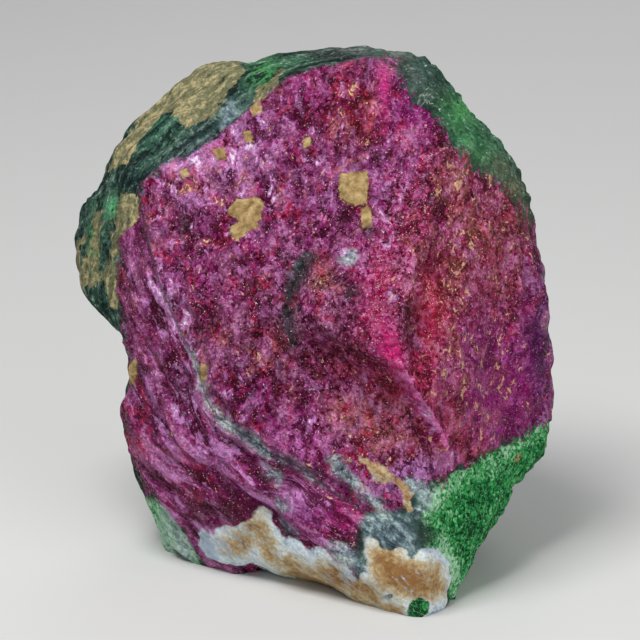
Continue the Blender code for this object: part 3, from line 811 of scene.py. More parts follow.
def inside_by(area, places):
    """How far each place lies inside a closed outline, negative outside.

    The distance is the shortest one to any side of the outline. Its sign is positive where a
    line to the right of the place crosses the outline an odd number of times.
    """
    corners = np.array(area)
    distance = np.full(len(places), np.inf)
    inside = np.zeros(len(places), bool)
    for start, end in zip(corners, np.roll(corners, -1, axis=0)):
        step = end - start
        offset = places - start
        reach = np.clip(offset @ step / (step @ step), 0.0, 1.0)
        gap = np.linalg.norm(offset - reach[:, None] * step, axis=1)
        distance = np.minimum(distance, gap)
        spans = (start[1] > places[:, 1]) != (end[1] > places[:, 1])
        if step[1]:
            inside ^= spans & (offset[:, 0] < offset[:, 1] * step[0] / step[1])
    return np.where(inside, distance, -distance)


def inside_any(areas, places):
    """How far each place lies inside the nearest of several outlines."""
    return np.max([inside_by(area, places) for area in areas], axis=0)


def laid(colours, colour, share):
    """Display colours with one more laid over them by a share."""
    share = share[:, None]
    return colours * (1.0 - share) + np.array(colour) * share


def laid_tones(places, base, tones):
    """Display colours of slow changes: each tone is laid softly over the ones before it."""
    colours = np.tile(np.array(base, float), (len(places), 1))
    for *spot, red, green, blue, strength in tones:
        colours = laid(colours, (red, green, blue), mound_height((*spot, strength), places))
    return colours


def back_tones(points, colours):
    """Lays broad patches of other tones over the colours behind the ruby."""
    behind = smooth_step((RUBY_BACK - points[:, 2]) / BACK_FADE)
    for colour, windows in BACK_TONES:
        colours = laid(colours, colour, smooth_step(patches(points, windows)) * behind)
    return colours


def share_at(shares, places):
    """The sum of soft round shares, from 0 to 1."""
    return np.clip(sum(mound_height(share, places) for share in shares), 0.0, 1.0)


def band_place(places):
    """Across the seam (positive below it) and round the middle of the band's bend, in mm."""
    distance, side, _ = along_line(SEAM, places)
    across, up = (places - np.array(BEND_MIDDLE)).T
    return distance * side, np.arctan2(up, across) % math.tau * BEND_RADIUS


def granular_share(points):
    """Share of the granular rind, which takes the layered rind's place towards the right."""
    return smooth_step((points[:, 0] - GRANULAR_START) / GRANULAR_FADE)


def ridge_highlight_share(places):
    """Painted highlight of the sharp ridges on top of them, and 0 a little beside them."""
    share = np.zeros(len(places))
    for line in FINE_LINES:
        if line.shine:
            distance, _, along = along_line(line.points, places)
            height = bell(distance / (RIDGE_WIDTH * line.groove[1])) * end_fade(line, along)
            share = np.maximum(share, line.shine * height)
    return share


def seam_inside(places):
    """How far each place lies inside the grey seam, whose half-width changes with height."""
    across, _ = band_place(places)
    at, widths = np.array(SEAM_WIDTHS).T
    return np.interp(places[:, 1], at, widths) - np.abs(across)


def patches(points, windows):
    """How far each point lies inside patches that only noise makes, about in mm."""
    stretch, table, level, slope = windows
    return slope * (bumps(points * np.array(stretch), table) - level)


def drifted(points, places):
    """Places pushed about by noise and up, the more the further back, so that borders wander."""
    behind = np.maximum(DRIFT_START - points[:, 2], 0.0)
    amount = smooth_step(behind / DRIFT_FADE)
    across = bumps(points, DRIFT_ACROSS) * amount
    up = bumps(points, DRIFT_UP) * amount + DRIFT_SINK * behind
    return places + np.stack((across, up), axis=1)


def mineral_areas(points, places):
    """Distance inside each mineral's area, in mm, by the attribute's name."""
    places = drifted(points, places)
    out = points[:, 2]
    warp = bumps(points, SIDE_WARP)
    hidden = HIDDEN_DEPTH * (smooth_step((HIDDEN_START - out) / HIDDEN_FADE) - 1.0)
    holes = inside_any(CRUST_HOLES, places)
    ruby = np.minimum(inside_by(RUBY_AREA, places), out - RUBY_BACK + warp)
    ruby = np.maximum(np.minimum(ruby, -holes), patches(points, RUBY_WINDOWS) + hidden)
    crust = np.minimum(inside_any(CRUST_AREAS, places), out - CRUST_BACK + CRUST_WARP * warp)
    rind_tan = np.minimum(inside_any(RIND_TANS, places), out - TAN_BACK + warp)
    rind_tan = np.maximum(rind_tan, patches(points, TAN_WINDOWS) + hidden)
    vein = np.maximum(inside_any(VEIN_AREAS, places), seam_inside(places))
    green = np.minimum(inside_any(GREEN_AREAS, places), out - GREEN_BACK + GREEN_WARP * warp)
    return {
        "ruby_inside": ruby,
        "green_inside": green,
        "crust_inside": np.minimum(crust, -holes),
        "vein_inside": np.minimum(vein, out - RUBY_BACK),
        "tan_inside": np.minimum(inside_any(TAN_PATCHES, places), TAN_PATCH_REACH * out),
        "rind_tan_inside": rind_tan,
        "stain_inside": inside_any(STAIN_AREAS, places),
        "dark_inside": np.minimum(inside_any(DARK_AREAS, places), out - DARK_BACK),
    }


def grain_way(points, places, band):
    """Coordinates in which the grain is even: squeezed along the layers or the crystals."""
    across, along = band_place(places)
    along = along * BAND_STRETCH + BAND_SHIFT
    layered = np.stack((along, across, np.zeros(len(across))), axis=1)
    plain = points * np.array((1.0, RUBY_STRETCH, RUBY_DEPTH))
    return np.where(band[:, None], layered, plain)


def crystal_height(points, size, pattern):
    """Height of angular crystals, in sizes, highest where one stands out.

    Each cell of a lattice holds one crystal with its own middle and slope. Its height is the
    slope times the offset from its middle, less the offset squared. The highest crystal shows.
    """
    place = points / size
    cell = np.floor(place).astype(np.int64)
    best = np.full(len(points), -np.inf)
    for step in np.ndindex(3, 3, 3):
        corner = cell + np.array(step) - 1
        values = [corner_values(*(corner + pattern + CRYSTAL_GAP * turn).T) for turn in range(6)]
        middle = corner + 0.5 + CRYSTAL_SHIFT * np.stack(values[:3], axis=1)
        offset = place - middle
        slope = CRYSTAL_TILT * np.stack(values[3:], axis=1)
        height = (offset * slope).sum(axis=1) - CRYSTAL_ROUND * (offset * offset).sum(axis=1)
        best = np.maximum(best, height)
    return best


def crystals(points):
    """The sum of large and small crystals."""
    return sum(
        height * crystal_height(points, size, pattern) for size, height, pattern in CRYSTALS
    )


# --- The dressed stone ---


def cube_grid(squares):
    """Directions over a sphere, and the squares between them.

    Each face of a cube is a grid of two parameters a and b: its points are (1, tan a, tan b)
    and the five turns of it, with a and b from -45 to 45 degrees. The points are made unit
    vectors, and those on the cube's edges are joined. All of them then lean to the front: a
    part of the front direction is added, and they are made unit vectors again.
    """
    tangent = np.tan(np.radians(np.linspace(-45.0, 45.0, squares + 1)))
    a, b = (grid.ravel() for grid in np.meshgrid(tangent, tangent, indexing="ij"))
    one = np.ones_like(a)
    sides = ((one, a, b), (-one, b, a), (b, one, a), (a, -one, b), (a, b, one), (b, a, -one))
    points = np.concatenate([np.stack(side, axis=1) for side in sides])
    points /= np.linalg.norm(points, axis=1)[:, None]
    i, j = (grid.ravel() for grid in np.meshgrid(np.arange(squares), np.arange(squares)))
    corner = i * (squares + 1) + j
    square = np.stack((corner, corner + squares + 1, corner + squares + 2, corner + 1), axis=1)
    count = (squares + 1) ** 2
    faces = np.concatenate([square + side * count for side in range(len(sides))])
    _, first, joined = np.unique(
        np.round(points, 6), axis=0, return_index=True, return_inverse=True
    )
    points = points[first] + FRONT_LEAN * facing(0.0, 0.0)
    points /= np.linalg.norm(points, axis=1)[:, None]
    return points, joined.reshape(-1)[faces]


def surface_relief(points, places, way, areas, band):
    """Height of crystals, grains, furrows, small seams and patches, and that of crystals alone.

    Crystals and furrows are worked out in the grain's own coordinates, so they run with the
    layers. A patch rises over a short slope at its border.
    """
    out = points[:, 2]
    layered = points * np.array((LAYER_STRETCH, LAYER_STRETCH, 1.0))
    in_ruby = smooth_step(areas["ruby_inside"])
    granular = granular_share(points)
    rind = crystals(layered) * (1.0 - granular) + crystals(GRANULAR_FINE * points) * granular
    grown = np.where(areas["ruby_inside"] > 0.0, crystals(way), rind)
    across, _ = band_place(places)
    at_seam = smooth_step(out / SEAM_FADE + 1.0) * in_ruby
    at_seam = at_seam * (1.0 - smooth_step(np.abs(across) / SEAM_FLAT))
    flat = np.maximum(at_seam, CRUST_FLAT * smooth_step(areas["crust_inside"]))
    grown = grown + (grown.mean() - grown) * flat
    height = grown + bumps(points, GRAIN_BUMPS)
    height = height + bumps(layered, FURROWS) * (1.0 - in_ruby) * RIND_FURROWS
    furrows = bumps(way, FURROWS) * np.where(band, 1.0, FACE_FURROWS)
    height = height + furrows * in_ruby * (1.0 - at_seam)
    seams = sum(line_height(line, places) for line in FINE_LINES)
    height = height + seams * smooth_step(out / FINE_FADE)
    for name, rise in (("tan_inside", PATCH_RISE), ("crust_inside", CRUST_RISE)):
        height = height + rise * smooth_step(areas[name] / PATCH_SLOPE)
    return height, grown


def fit_to_box(points, low, high):
    """Stretches the points evenly along each axis so that they fill the box."""
    least = points.min(axis=0)
    size = points.max(axis=0) - least
    return low + (points - least) * (high - low) / size


def display_to_linear(colours):
    """Display colours, 0 to 255, as linear light: the usual curve with its straight foot."""
    share = np.asarray(colours, float) / 255.0
    curve = ((share + CURVE_SHIFT) / (1.0 + CURVE_SHIFT)) ** CURVE_POWER
    return np.where(share <= FOOT_END, share / FOOT_SLOPE, curve)


def keep(mesh, name, kind, values):
    """Keeps one number, vector or colour for each vertex, under a name that the material reads."""
    if kind == "FLOAT_COLOR":
        values = np.column_stack((values, np.ones(len(values))))
    attribute = mesh.attributes.new(name, kind, "POINT")
    field = {"FLOAT": "value", "FLOAT_VECTOR": "vector", "FLOAT_COLOR": "color"}[kind]
    attribute.data.foreach_set(field, values.astype(np.float32).ravel())


def mesh_of(name, points, faces):
    """A smooth mesh of points in millimetres and four-sided faces."""
    mesh = bpy.data.meshes.new(name)
    mesh.from_pydata((points * MM).tolist(), [], faces.tolist())
    mesh.update()
    mesh.polygons.foreach_set("use_smooth", np.ones(len(mesh.polygons), bool))
    return mesh


def make_stone(sizes):
    """The dressed stone, in the solid's own box."""
    directions, faces = cube_grid(sizes.squares)
    solid = stone_points(directions)
    places = seen_at(solid)
    across, _ = band_place(places)
    band = (across > 0.0) & (solid[:, 2] > BAND_BACK)
    areas = mineral_areas(solid, places)
    way = grain_way(solid, places, band)
    relief, grown = surface_relief(solid, places, way, areas, band)
    points = solid + directions * (relief * sizes.relief)[:, None]
    low, high = (np.array(corner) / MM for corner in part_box(NODE))
    mesh = mesh_of("dressed_stone", fit_to_box(stand_up(points), low, high), faces)
    ruby = laid_tones(places, RUBY_BASE, RUBY_TONES)
    rind = back_tones(points, laid_tones(places, RIND_BASE, RIND_TONES))
    cells = share_at(CELL_SHARES, places)
    habits = (smooth_step(across / BAND_FADE), granular_share(solid), cells)
    shares = [share_at(table, places) for table in (PALE_SHARES, RUST_SHARES, DARK_GRAIN_AND_SHADE_SHARES)]
    glass = share_at(GLASS_SHARES, places)
    singles = {**areas, "crystal_height": grown, "ridge": ridge_highlight_share(places), "glass": glass}
    colours = {
        "ruby_tone": display_to_linear(ruby),
        "rind_tone": display_to_linear(rind),
        "habits": np.stack(habits, axis=1),
        "speck_shares": np.stack(shares, axis=1),
    }
    for name, values in singles.items():
        keep(mesh, name, "FLOAT", values)
    keep(mesh, "grain_way", "FLOAT_VECTOR", way)
    for name, values in colours.items():
        keep(mesh, name, "FLOAT_COLOR", values)
    return add_object("dressed_stone", mesh)


# --- Material ---


class Graph:
    """Short ways to add the nodes of the stone's material, and what all its minerals read."""

    def __init__(self, tree):
        self.tree = tree
        self.place = self.node("ShaderNodeTexCoord").outputs["Object"]
        self.way = self.attribute("grain_way", "Vector")
        # Speck shares: pale flecks, partly a painted highlight along the lower crest; rust; and dark
        # grains, partly painted shade under the nose and beside the crest.
        self.pale, self.rust, self.dim_and_shade = self.parts(self.attribute("speck_shares", "Color"))
        self.band, self.granular, self.cells = self.parts(self.attribute("habits", "Color"))
        self.even = self.sized(self.place, (MM, MM, MM))
        self.small = self.facets(self.even, *SMALL_GRAINS)
        self.large = self.facets(self.way, *LARGE_GRAINS)
        self.ragged = self.speckle(1.3, 5.0, 0.65)

    def node(self, kind, inputs=(), **settings):
        """Adds a node, sets its options and feeds its inputs, given as (name or number, value)."""
        made = self.tree.nodes.new(kind)
        for name, value in settings.items():
            setattr(made, name, value)
        for name, value in inputs:
            self.feed(made.inputs[name], value)
        return made

    def feed(self, socket, value):
        """Links a socket to another, or sets it to a number, a vector or a colour."""
        if isinstance(value, bpy.types.NodeSocket):
            self.tree.links.new(value, socket)
        elif socket.type == "RGBA":
            socket.default_value = (*value, 1.0)
        else:
            socket.default_value = value

    def attribute(self, name, output="Fac"):
        """Reads one of the mesh's attributes."""
        return self.node("ShaderNodeAttribute", attribute_name=name).outputs[output]

    def math(self, operation, *values):
        """One sum of numbers."""
        return self.node("ShaderNodeMath", enumerate(values), operation=operation).outputs[0]

    def total(self, *terms):
        """Adds up terms, each a value alone or a (value, factor) pair."""
        result = 0.0
        for term in terms:
            value, factor = term if isinstance(term, tuple) else (term, 1.0)
            result = self.math("MULTIPLY_ADD", value, factor, result)
        return result

    def spread(self, value, start, end, low=0.0, high=1.0):
        """Maps start..end smoothly to low..high."""
        values = enumerate((value, start, end, low, high))
        made = self.node("ShaderNodeMapRange", values, interpolation_type="SMOOTHSTEP")
        return made.outputs[0]

    def sized(self, vector, sizes, tilt=0.0, turn=0.0):
        """Turns a vector about X or Y and divides it by sizes, so that 1 is one size."""
        turns = (math.radians(tilt), math.radians(turn), 0.0)
        inputs = (("Vector", vector), ("Rotation", turns), ("Scale", sizes))
        return self.node("ShaderNodeMapping", inputs, vector_type="TEXTURE").outputs[0]

    def noise(self, vector, size, detail=2.0, roughness=0.5, distortion=0.0, output="Fac"):
        """Cloudy noise about 0.5, its clouds about as wide as size."""
        inputs = (
            ("Vector", vector), ("Scale", 1.0 / size), ("Detail", detail),
            ("Roughness", roughness), ("Distortion", distortion),
        )
        return self.node("ShaderNodeTexNoise", inputs).outputs[output]

    def speckle(self, size, detail=2.0, roughness=0.5, distortion=0.0):
        """Cloudy noise in the stone's own place, its clouds about as wide as size in mm."""
        return self.noise(self.place, size * MM, detail, roughness, distortion)

    def vector_math(self, operation, *values):
        """One sum of two vectors, which gives a vector, or a number for a dot product."""
        made = self.node("ShaderNodeVectorMath", enumerate(values), operation=operation)
        return made.outputs["Value" if operation == "DOT_PRODUCT" else "Vector"]

    def warped(self, vector, size, amount):
        """Pushes a vector about by noise of a size, so that grains on it get uneven borders."""
        push = self.noise(vector, size, output="Color")
        push = self.vector_math("SUBTRACT", push, (0.5, 0.5, 0.5))
        push = self.vector_math("MULTIPLY", push, (amount, amount, amount))
        return self.vector_math("ADD", vector, push)

    def parts(self, colour):
        """The three numbers of a colour."""
        return self.node("ShaderNodeSeparateColor", ((0, colour),)).outputs[:3]

    def streaked(self, sizes, tilt=0.0, turn=0.0):
        """The stone's own place for a pattern of streaks, whose sizes are in mm."""
        return self.sized(self.place, [size * MM for size in sizes], tilt, turn)

    def voronoi(self, vector, size, feature):
        """A pattern of cells about as wide as size."""
        inputs = (("Vector", vector), ("Scale", 1.0 / size))
        return self.node("ShaderNodeTexVoronoi", inputs, feature=feature).outputs

    def facets(self, vector, size, warp_size, warp):
        """Crystal grains: two random numbers for each, and the height of its own sloping top."""
        vector = self.warped(vector, warp_size, warp)
        cells = self.voronoi(vector, size, "F1")
        first, second, _ = self.parts(cells["Color"])
        offset = self.vector_math("SUBTRACT", vector, cells["Position"])
        slope = self.vector_math("SUBTRACT", cells["Color"], (0.5, 0.5, 0.5))
        return first, second, self.vector_math("DOT_PRODUCT", offset, slope)

    def blend(self, share, first, second):
        """Mixes two numbers by a share."""
        inputs, output = MIX_NUMBERS
        made = self.node("ShaderNodeMix", zip(inputs, (share, first, second)))
        return made.outputs[output]

    def mix(self, share, first, second, way="MIX"):
        """Lays the second colour over the first by a share."""
        inputs, output = MIX_COLOURS
        values = zip(inputs, (share, first, second))
        made = self.node("ShaderNodeMix", values, data_type="RGBA", blend_type=way)
        return made.outputs[output]

    def lay(self, first, second, value, start, end, most=1.0):
        """Lays the second colour over the first where a value goes from start to end."""
        return self.mix(self.spread(value, start, end, 0.0, most), first, second)

    def ramp(self, value, *stops):
        """Colours between stops of (place, colour)."""
        made = self.node("ShaderNodeValToRGB", ((0, value),))
        elements = made.color_ramp.elements
        while len(elements) < len(stops):
            elements.new(0.5)
        for element, (place, colour) in zip(elements, stops):
            element.position = place
            element.color = (*colour, 1.0)
        return made.outputs[0]

    def edge(self, name, ragged):
        """A mineral's mask: its distance made ragged by noise, then cut over a soft width."""
        amount, soft = BORDERS[name]
        inside = self.total(self.attribute(name), (ragged, amount))
        return self.spread(inside, 0.5 * amount - soft, 0.5 * amount + soft)


def ruby_colour(graph, colours):
    """Granular ruby: tones darkened and lightened by clouds and grains, and by crystal height as painted
    shade and light, with flecks and painted ridge highlights on top.
    """
    way, pale, rust, dim_and_shade, cells = graph.way, graph.pale, graph.rust, graph.dim_and_shade, graph.cells
    glass = graph.attribute("glass")
    cloud = graph.noise(way, 2.6, 5.0, 0.62, 0.4)
    clump = graph.noise(way, 1.1, 3.0, 0.6, 0.5)
    streak = graph.math("SUBTRACT", graph.noise(way, 1.3, 4.0, 0.6, 0.3), 0.5)
    streak = graph.math("MULTIPLY", streak, graph.band)
    fine = graph.noise(way, 0.55, 4.0, 0.7, 1.0)
    detail = graph.total((fine, 1.15), (graph.small[0], 0.35), -0.75)
    detail = graph.math("MULTIPLY", detail, graph.total((cells, 0.9), (pale, -0.6), 1.8))
    # The crystal height lifts crystal tops and lowers the hollows between them: painted light and painted
    # shade.
    level = graph.total(
        (cloud, 1.8), (clump, 1.6), (streak, 2.6), detail, (graph.large[0], 0.34),
        (graph.attribute("crystal_height"), 0.9), 1.02,
    )
    plain = graph.attribute("ruby_tone", "Color")
    hue = graph.noise(way, 3.0, 6.0, 0.66, 1.0)
    rosy = graph.total(hue, (graph.large[1], 0.06), (rust, 0.13))
    tone = graph.lay(plain, colours.ruby_purple, rosy, 0.52, 0.43, 0.65)
    tone = graph.lay(tone, colours.ruby_rose, rosy, 0.6, 0.72, 0.75)
    haze = graph.noise(way, 1.9, 5.0, 0.64, 0.8)
    tone = graph.lay(tone, colours.ruby_red, haze, 0.48, 0.36, 0.75)
    tone = graph.mix(dim_and_shade, tone, plain)
    dark = graph.mix(1.0, tone, colours.ruby_shadow, "MULTIPLY")
    light = graph.mix(0.5, tone, colours.ruby_light, "SCREEN")
    colour = graph.lay(dark, tone, level, 2.5, 3.1)
    colour = graph.lay(colour, light, level, 3.04, 3.75)
    hazy = graph.total(haze, (cells, -0.12))
    colour = graph.lay(colour, colours.fleck, hazy, 0.55, 0.68, 0.4)
    colour = graph.mix(graph.total((glass, 0.65)), colour, plain)
    # Painted highlight: the ridge colour is laid along the tops of the sharp ridges.
    ridge = graph.total((graph.attribute("ridge"), 1.2), (fine, 2.0), (clump, 1.8))
    colour = graph.lay(colour, colours.ridge, ridge, 2.5, 3.3, 0.72)
    size, *warp = CELLS
    walls = graph.voronoi(graph.warped(way, *warp), size, "DISTANCE_TO_EDGE")["Distance"]
    walls = graph.math("MULTIPLY", graph.spread(walls, 0.12, 0.0), cells)
    walls = graph.math("MULTIPLY", walls, graph.spread(fine, 0.3, 0.6, 0.0, 0.26))
    colour = graph.mix(walls, colour, colours.cell_wall)
    flecks = graph.noise(way, 1.15, 5.0, 0.66, 0.4)
    share = graph.total(flecks, (pale, 0.16))
    colour = graph.lay(colour, colours.fleck, share, 0.63, 0.72, 0.75)
    share = graph.total(
        flecks, (pale, 0.14), (fine, 0.25), (graph.band, -0.05), (glass, -0.1)
    )
    colour = graph.lay(colour, colours.fleck_white, share, 0.83, 0.91, 0.85)
    stain = graph.noise(way, 1.7, 6.0, 0.72, 0.5)
    share = graph.total(stain, (rust, 0.17), (glass, -0.08))
    colour = graph.lay(colour, colours.rust, share, 0.6, 0.74, 0.55)
    flakes = graph.noise(way, 0.85, 3.0, 0.7, 0.6)
    share = graph.total(flakes, (rust, 0.12), (stain, 0.35))
    colour = graph.lay(colour, colours.gold, share, 0.87, 0.9, 0.9)
    # Dark grains, crowded where the dark-grain shares paint shade under the nose and beside the crest.
    share = graph.noise(way, 0.9, 5.0, 0.7, 1.2)
    share = graph.total(share, (dim_and_shade, 0.26), (glass, -0.12))
    return graph.lay(colour, colours.ruby_dark_grain_and_shade, share, 0.65, 0.84)


def rind_colour(graph, colours):
    """Rind: layers of black-green, green and grey seen edge on, or grains of the same."""
    thin = graph.streaked(RIND_STREAKS, tilt=-VIEW_TILT)
    streaks = graph.noise(thin, 1.0, 6.0, 0.66, 0.8)
    streaks = graph.blend(graph.granular, streaks, graph.speckle(1.8, 5.0, 0.66))
    grains = graph.speckle(0.6, 4.0, 0.7)
    level = graph.total(streaks, (grains, 0.6), (graph.small[0], 0.12))
    tone = graph.attribute("rind_tone", "Color")
    dark = graph.mix(0.92, tone, colours.rind_black)
    light = graph.mix(0.7, tone, colours.rind_light, "SCREEN")
    colour = graph.lay(dark, tone, level, 0.76, 0.9)
    colour = graph.lay(colour, light, level, 0.92, 1.08)
    colour = graph.mix(graph.total((graph.granular, 0.55)), colour, tone)
    share = graph.total(graph.noise(thin, 0.7, 5.0, 0.7, 0.6), (grains, 0.3))
    colour = graph.lay(colour, colours.rind_grey, share, 0.74, 0.86, 0.75)
    share = graph.total(graph.small[1], grains, (graph.granular, 0.03))
    return graph.lay(colour, colours.rind_pale, share, 1.5, 1.62, 0.6)


def rind_tan_colour(graph, colours):
    """Olive tan layers with yellow and dark streaks."""
    thin = graph.streaked(TAN_STREAKS, tilt=-VIEW_TILT)
    level = graph.total(
        (graph.noise(thin, 1.0, 5.0, 0.62, 0.5), 0.9), (graph.speckle(0.6, 4.0, 0.72, 0.6), 0.75),
        -0.33, (graph.pale, 0.1), (graph.dim_and_shade, -0.14),
    )
    return graph.ramp(
        level,
        (0.26, colours.rind_black), (0.38, colours.rind_olive),
        (0.52, colours.rind_tan), (0.66, colours.rind_yellow),
    )


def crust_colour(graph, colours):
    """Weathered crust: brown middles that turn cream outwards, with bluish slanting streaks."""
    slanting = graph.streaked(CRUST_STREAKS, turn=CRUST_TURN)
    stain = graph.attribute("stain_inside")
    level = graph.total(
        graph.spread(stain, -2.6, 1.8, -1.3, 1.3), (graph.speckle(1.3, 5.0, 0.6, 0.2), 2.0),
        (graph.noise(slanting, 1.0, 5.0, 0.66, 0.5), 1.6), (graph.speckle(0.45, 3.0, 0.6), 1.8),
        -0.4,
    )
    colour = graph.ramp(
        graph.spread(level, 0.0, 4.6),
        (0.16, colours.crust_blue), (0.32, colours.crust_rim), (0.5, colours.crust_cream),
        (0.66, colours.crust_tan), (0.88, colours.crust_brown),
    )
    share = graph.total(graph.noise(slanting, 0.8, 5.0, 0.66, 1.0), (graph.pale, 0.14))
    colour = graph.lay(colour, colours.crust_blue, share, 0.58, 0.7, 0.85)
    rim = graph.spread(graph.attribute("crust_inside"), 0.5, 0.1, 0.0, 0.35)
    rim = graph.math("MINIMUM", rim, graph.spread(stain, 0.2, -0.5))
    return graph.mix(rim, colour, colours.crust_rim)


def wedge_colour(graph, colours):
    """Granular green: grains of four greens, paler along its border."""
    rim = graph.spread(graph.attribute("green_inside"), 0.0, 3.4, 0.25, -0.02)
    level = graph.total(
        graph.speckle(2.2, 5.0, 0.62), (graph.speckle(0.5, 4.0, 0.66), 0.9),
        (graph.small[0], 0.46), rim, (graph.pale, 0.4), (graph.dim_and_shade, -0.3), -0.12,
    )
    return graph.ramp(
        graph.spread(level, 0.66, 1.72),
        (0.12, colours.green_dark), (0.4, colours.green),
        (0.66, colours.green_mid), (0.95, colours.green_pale),
    )


def vein_colour(graph, colours):
    """Grey and pale mint veins, streaked like the crust."""
    slanting = graph.streaked(VEIN_STREAKS, turn=CRUST_TURN)
    cloud = graph.noise(slanting, 1.0, 6.0, 0.72, 0.6)
    lumps = graph.speckle(1.8, 4.0, 0.6, 0.6)
    return graph.ramp(
        graph.total((cloud, 1.1), (lumps, 0.8), (graph.pale, 0.13), -0.47),
        (0.36, colours.vein_dark), (0.49, colours.vein_grey),
        (0.6, colours.vein_blue), (0.72, colours.vein_mint),
    )


def tan_colour(graph, colours):
    """Flat tan patches with darker spots."""
    return graph.ramp(
        graph.speckle(0.9, 4.0, 0.6),
        (0.34, colours.tan_dark), (0.5, colours.tan), (0.68, colours.tan_light),
    )


def stone_height(graph, ruby, bright, dull):
    """Height for the bump: sloping grains on the minerals that shine, and small lumps."""
    along = graph.total((graph.large[2], 0.9), (graph.noise(graph.way, 0.4, 4.0, 0.7), 0.2))
    slopes = graph.total((graph.small[2], 2.2), graph.math("MULTIPLY", along, ruby))
    grainy = graph.blend(dull, graph.blend(bright, 0.5, 1.0), 0.2)
    slopes = graph.math("MULTIPLY", slopes, grainy)
    return graph.total((graph.speckle(0.9, 4.0, 0.6), 0.25), slopes)


def stone_material(colours):
    """One material for the whole stone: each mineral's colour within its own ragged border."""
    material = bpy.data.materials.new("ruby_in_zoisite")
    material.use_nodes = True
    graph = Graph(material.node_tree)
    shader = material.node_tree.nodes["Principled BSDF"]
    ragged = graph.ragged
    gritty = graph.speckle(0.7, 4.0, 0.7)
    frayed = graph.math("MULTIPLY", graph.math("SUBTRACT", gritty, 0.5), graph.granular)
    ruby = graph.edge("ruby_inside", graph.total(ragged, (frayed, 2.0)))
    green = graph.edge("green_inside", ragged)
    crust = graph.edge("crust_inside", graph.speckle(2.2, 3.0, 0.55))
    tan = graph.edge("tan_inside", graph.speckle(0.6, 4.0, 0.7))
    vein = graph.total((graph.edge("vein_inside", ragged), 0.9))
    dark = graph.total((ragged, 0.5), (gritty, 0.5))
    dark = graph.total((graph.edge("dark_inside", dark), 0.85))
    colour = rind_colour(graph, colours)
    for share, mineral in (
        (graph.edge("rind_tan_inside", ragged), rind_tan_colour),
        (green, wedge_colour),
        (ruby, ruby_colour),
        (vein, vein_colour),
        (crust, crust_colour),
        (tan, tan_colour),
    ):
        colour = graph.mix(share, colour, mineral(graph, colours))
    colour = graph.mix(dark, colour, colours.crease)
    dull = graph.math("MAXIMUM", crust, tan)
    bright = graph.math("MAXIMUM", ruby, green)
    # Painted glints: tiny bright spots of glint colour laid over the minerals, which are also made
    # smoother.
    spark = graph.total(
        (dull, -0.1), graph.noise(graph.even, 0.2, 2.0, 0.7, 0.5), (bright, 0.064),
        (graph.rust, 0.015), (green, 0.026), (graph.cells, 0.024),
    )
    spark = graph.spread(spark, 0.705, 0.765)
    painted_glint = graph.mix(ruby, colours.green_pale, colours.painted_glint)
    colour = graph.mix(graph.total((spark, 0.8)), colour, painted_glint)
    rough = graph.blend(ruby, 0.62, graph.spread(graph.small[1], 0.0, 1.0, 0.26, 0.6))
    rough = graph.blend(spark, graph.blend(dull, rough, 0.8), 0.2)
    height = stone_height(graph, ruby, bright, dull)
    inputs = (("Strength", 1.0), ("Distance", MM), ("Height", height))
    normal = graph.node("ShaderNodeBump", inputs).outputs[0]
    shader.inputs["Specular IOR Level"].default_value = STONE_GLOSS
    for name, value in (("Base Color", colour), ("Roughness", rough), ("Normal", normal)):
        graph.feed(shader.inputs[name], value)
    return material


# --- Stage ---


def heart_place():
    """The heart of the stone in the frame of the model, in metres."""
    return Vector((HEART_SHIFT[0], HEART_SHIFT[1], HEART_HEIGHT)) * MM


def add_object(name, data):
    """Puts a mesh, a lens or a light into the scene as an object of its own."""
    made = bpy.data.objects.new(name, data)
    bpy.context.scene.collection.objects.link(made)
    return made


def make_camera():
    """A camera in front of the stone and slightly above it, as wide as the frame needs."""
    tilt = math.radians(VIEW_TILT)
    back = Vector((0.0, -math.cos(tilt), math.sin(tilt)))
    lens = bpy.data.cameras.new("camera")
    lens.sensor_width = SENSOR
    lens.lens = SENSOR * VIEW_DISTANCE / FRAME_WIDTH
    lens.clip_start = NEAREST_SEEN
    camera = add_object("camera", lens)
    camera.location = heart_place() + back * VIEW_DISTANCE * MM
    camera.rotation_euler = (-back).to_track_quat("-Z", "Y").to_euler()
    bpy.context.scene.camera = camera


def make_lamp(name, place, size, power):
    """A square soft light that faces the heart of the stone."""
    light = bpy.data.lights.new(name, "AREA")
    light.size = size
    light.energy = power
    lamp = add_object(name, light)
    lamp.location = place
    lamp.rotation_euler = (heart_place() - Vector(place)).to_track_quat("-Z", "Y").to_euler()


def floor_material(colour):
    """Plain dull floor of one pale colour."""
    material = bpy.data.materials.new("pale_floor")
    material.use_nodes = True
    shader = material.node_tree.nodes["Principled BSDF"]
    shader.inputs["Base Color"].default_value = (*colour, 1.0)
    shader.inputs["Roughness"].default_value = FLOOR_ROUGHNESS
    return material


def make_floor(colour):
    """A flat square floor under the stone, a grid of four corners at height 0."""
    half = FLOOR_SIZE / 2.0
    corners = [(-half, -half, 0.0), (half, -half, 0.0), (half, half, 0.0), (-half, half, 0.0)]
    mesh = bpy.data.meshes.new("floor")
    mesh.from_pydata(corners, [], [(0, 1, 2, 3)])
    mesh.materials.append(floor_material(colour))
    floor = add_object("floor", mesh)


def make_world():
    """Even pale light from all round."""
    world = bpy.data.worlds.new("studio")
    world.use_nodes = True
    background = world.node_tree.nodes["Background"]
    background.inputs["Color"].default_value = (*WORLD_COLOUR, 1.0)
    background.inputs["Strength"].default_value = WORLD_STRENGTH
    bpy.context.scene.world = world


# --- Settings, operators and panel ---


def shade(name, description, red, green, blue):
    """A colour setting whose default is given as a display colour, 0 to 255."""
    return FloatVectorProperty(
        name=name,
        description=description,
        subtype="COLOR",
        size=3,
        min=0.0,
        max=1.0,
        default=tuple(display_to_linear((red, green, blue))),
    )


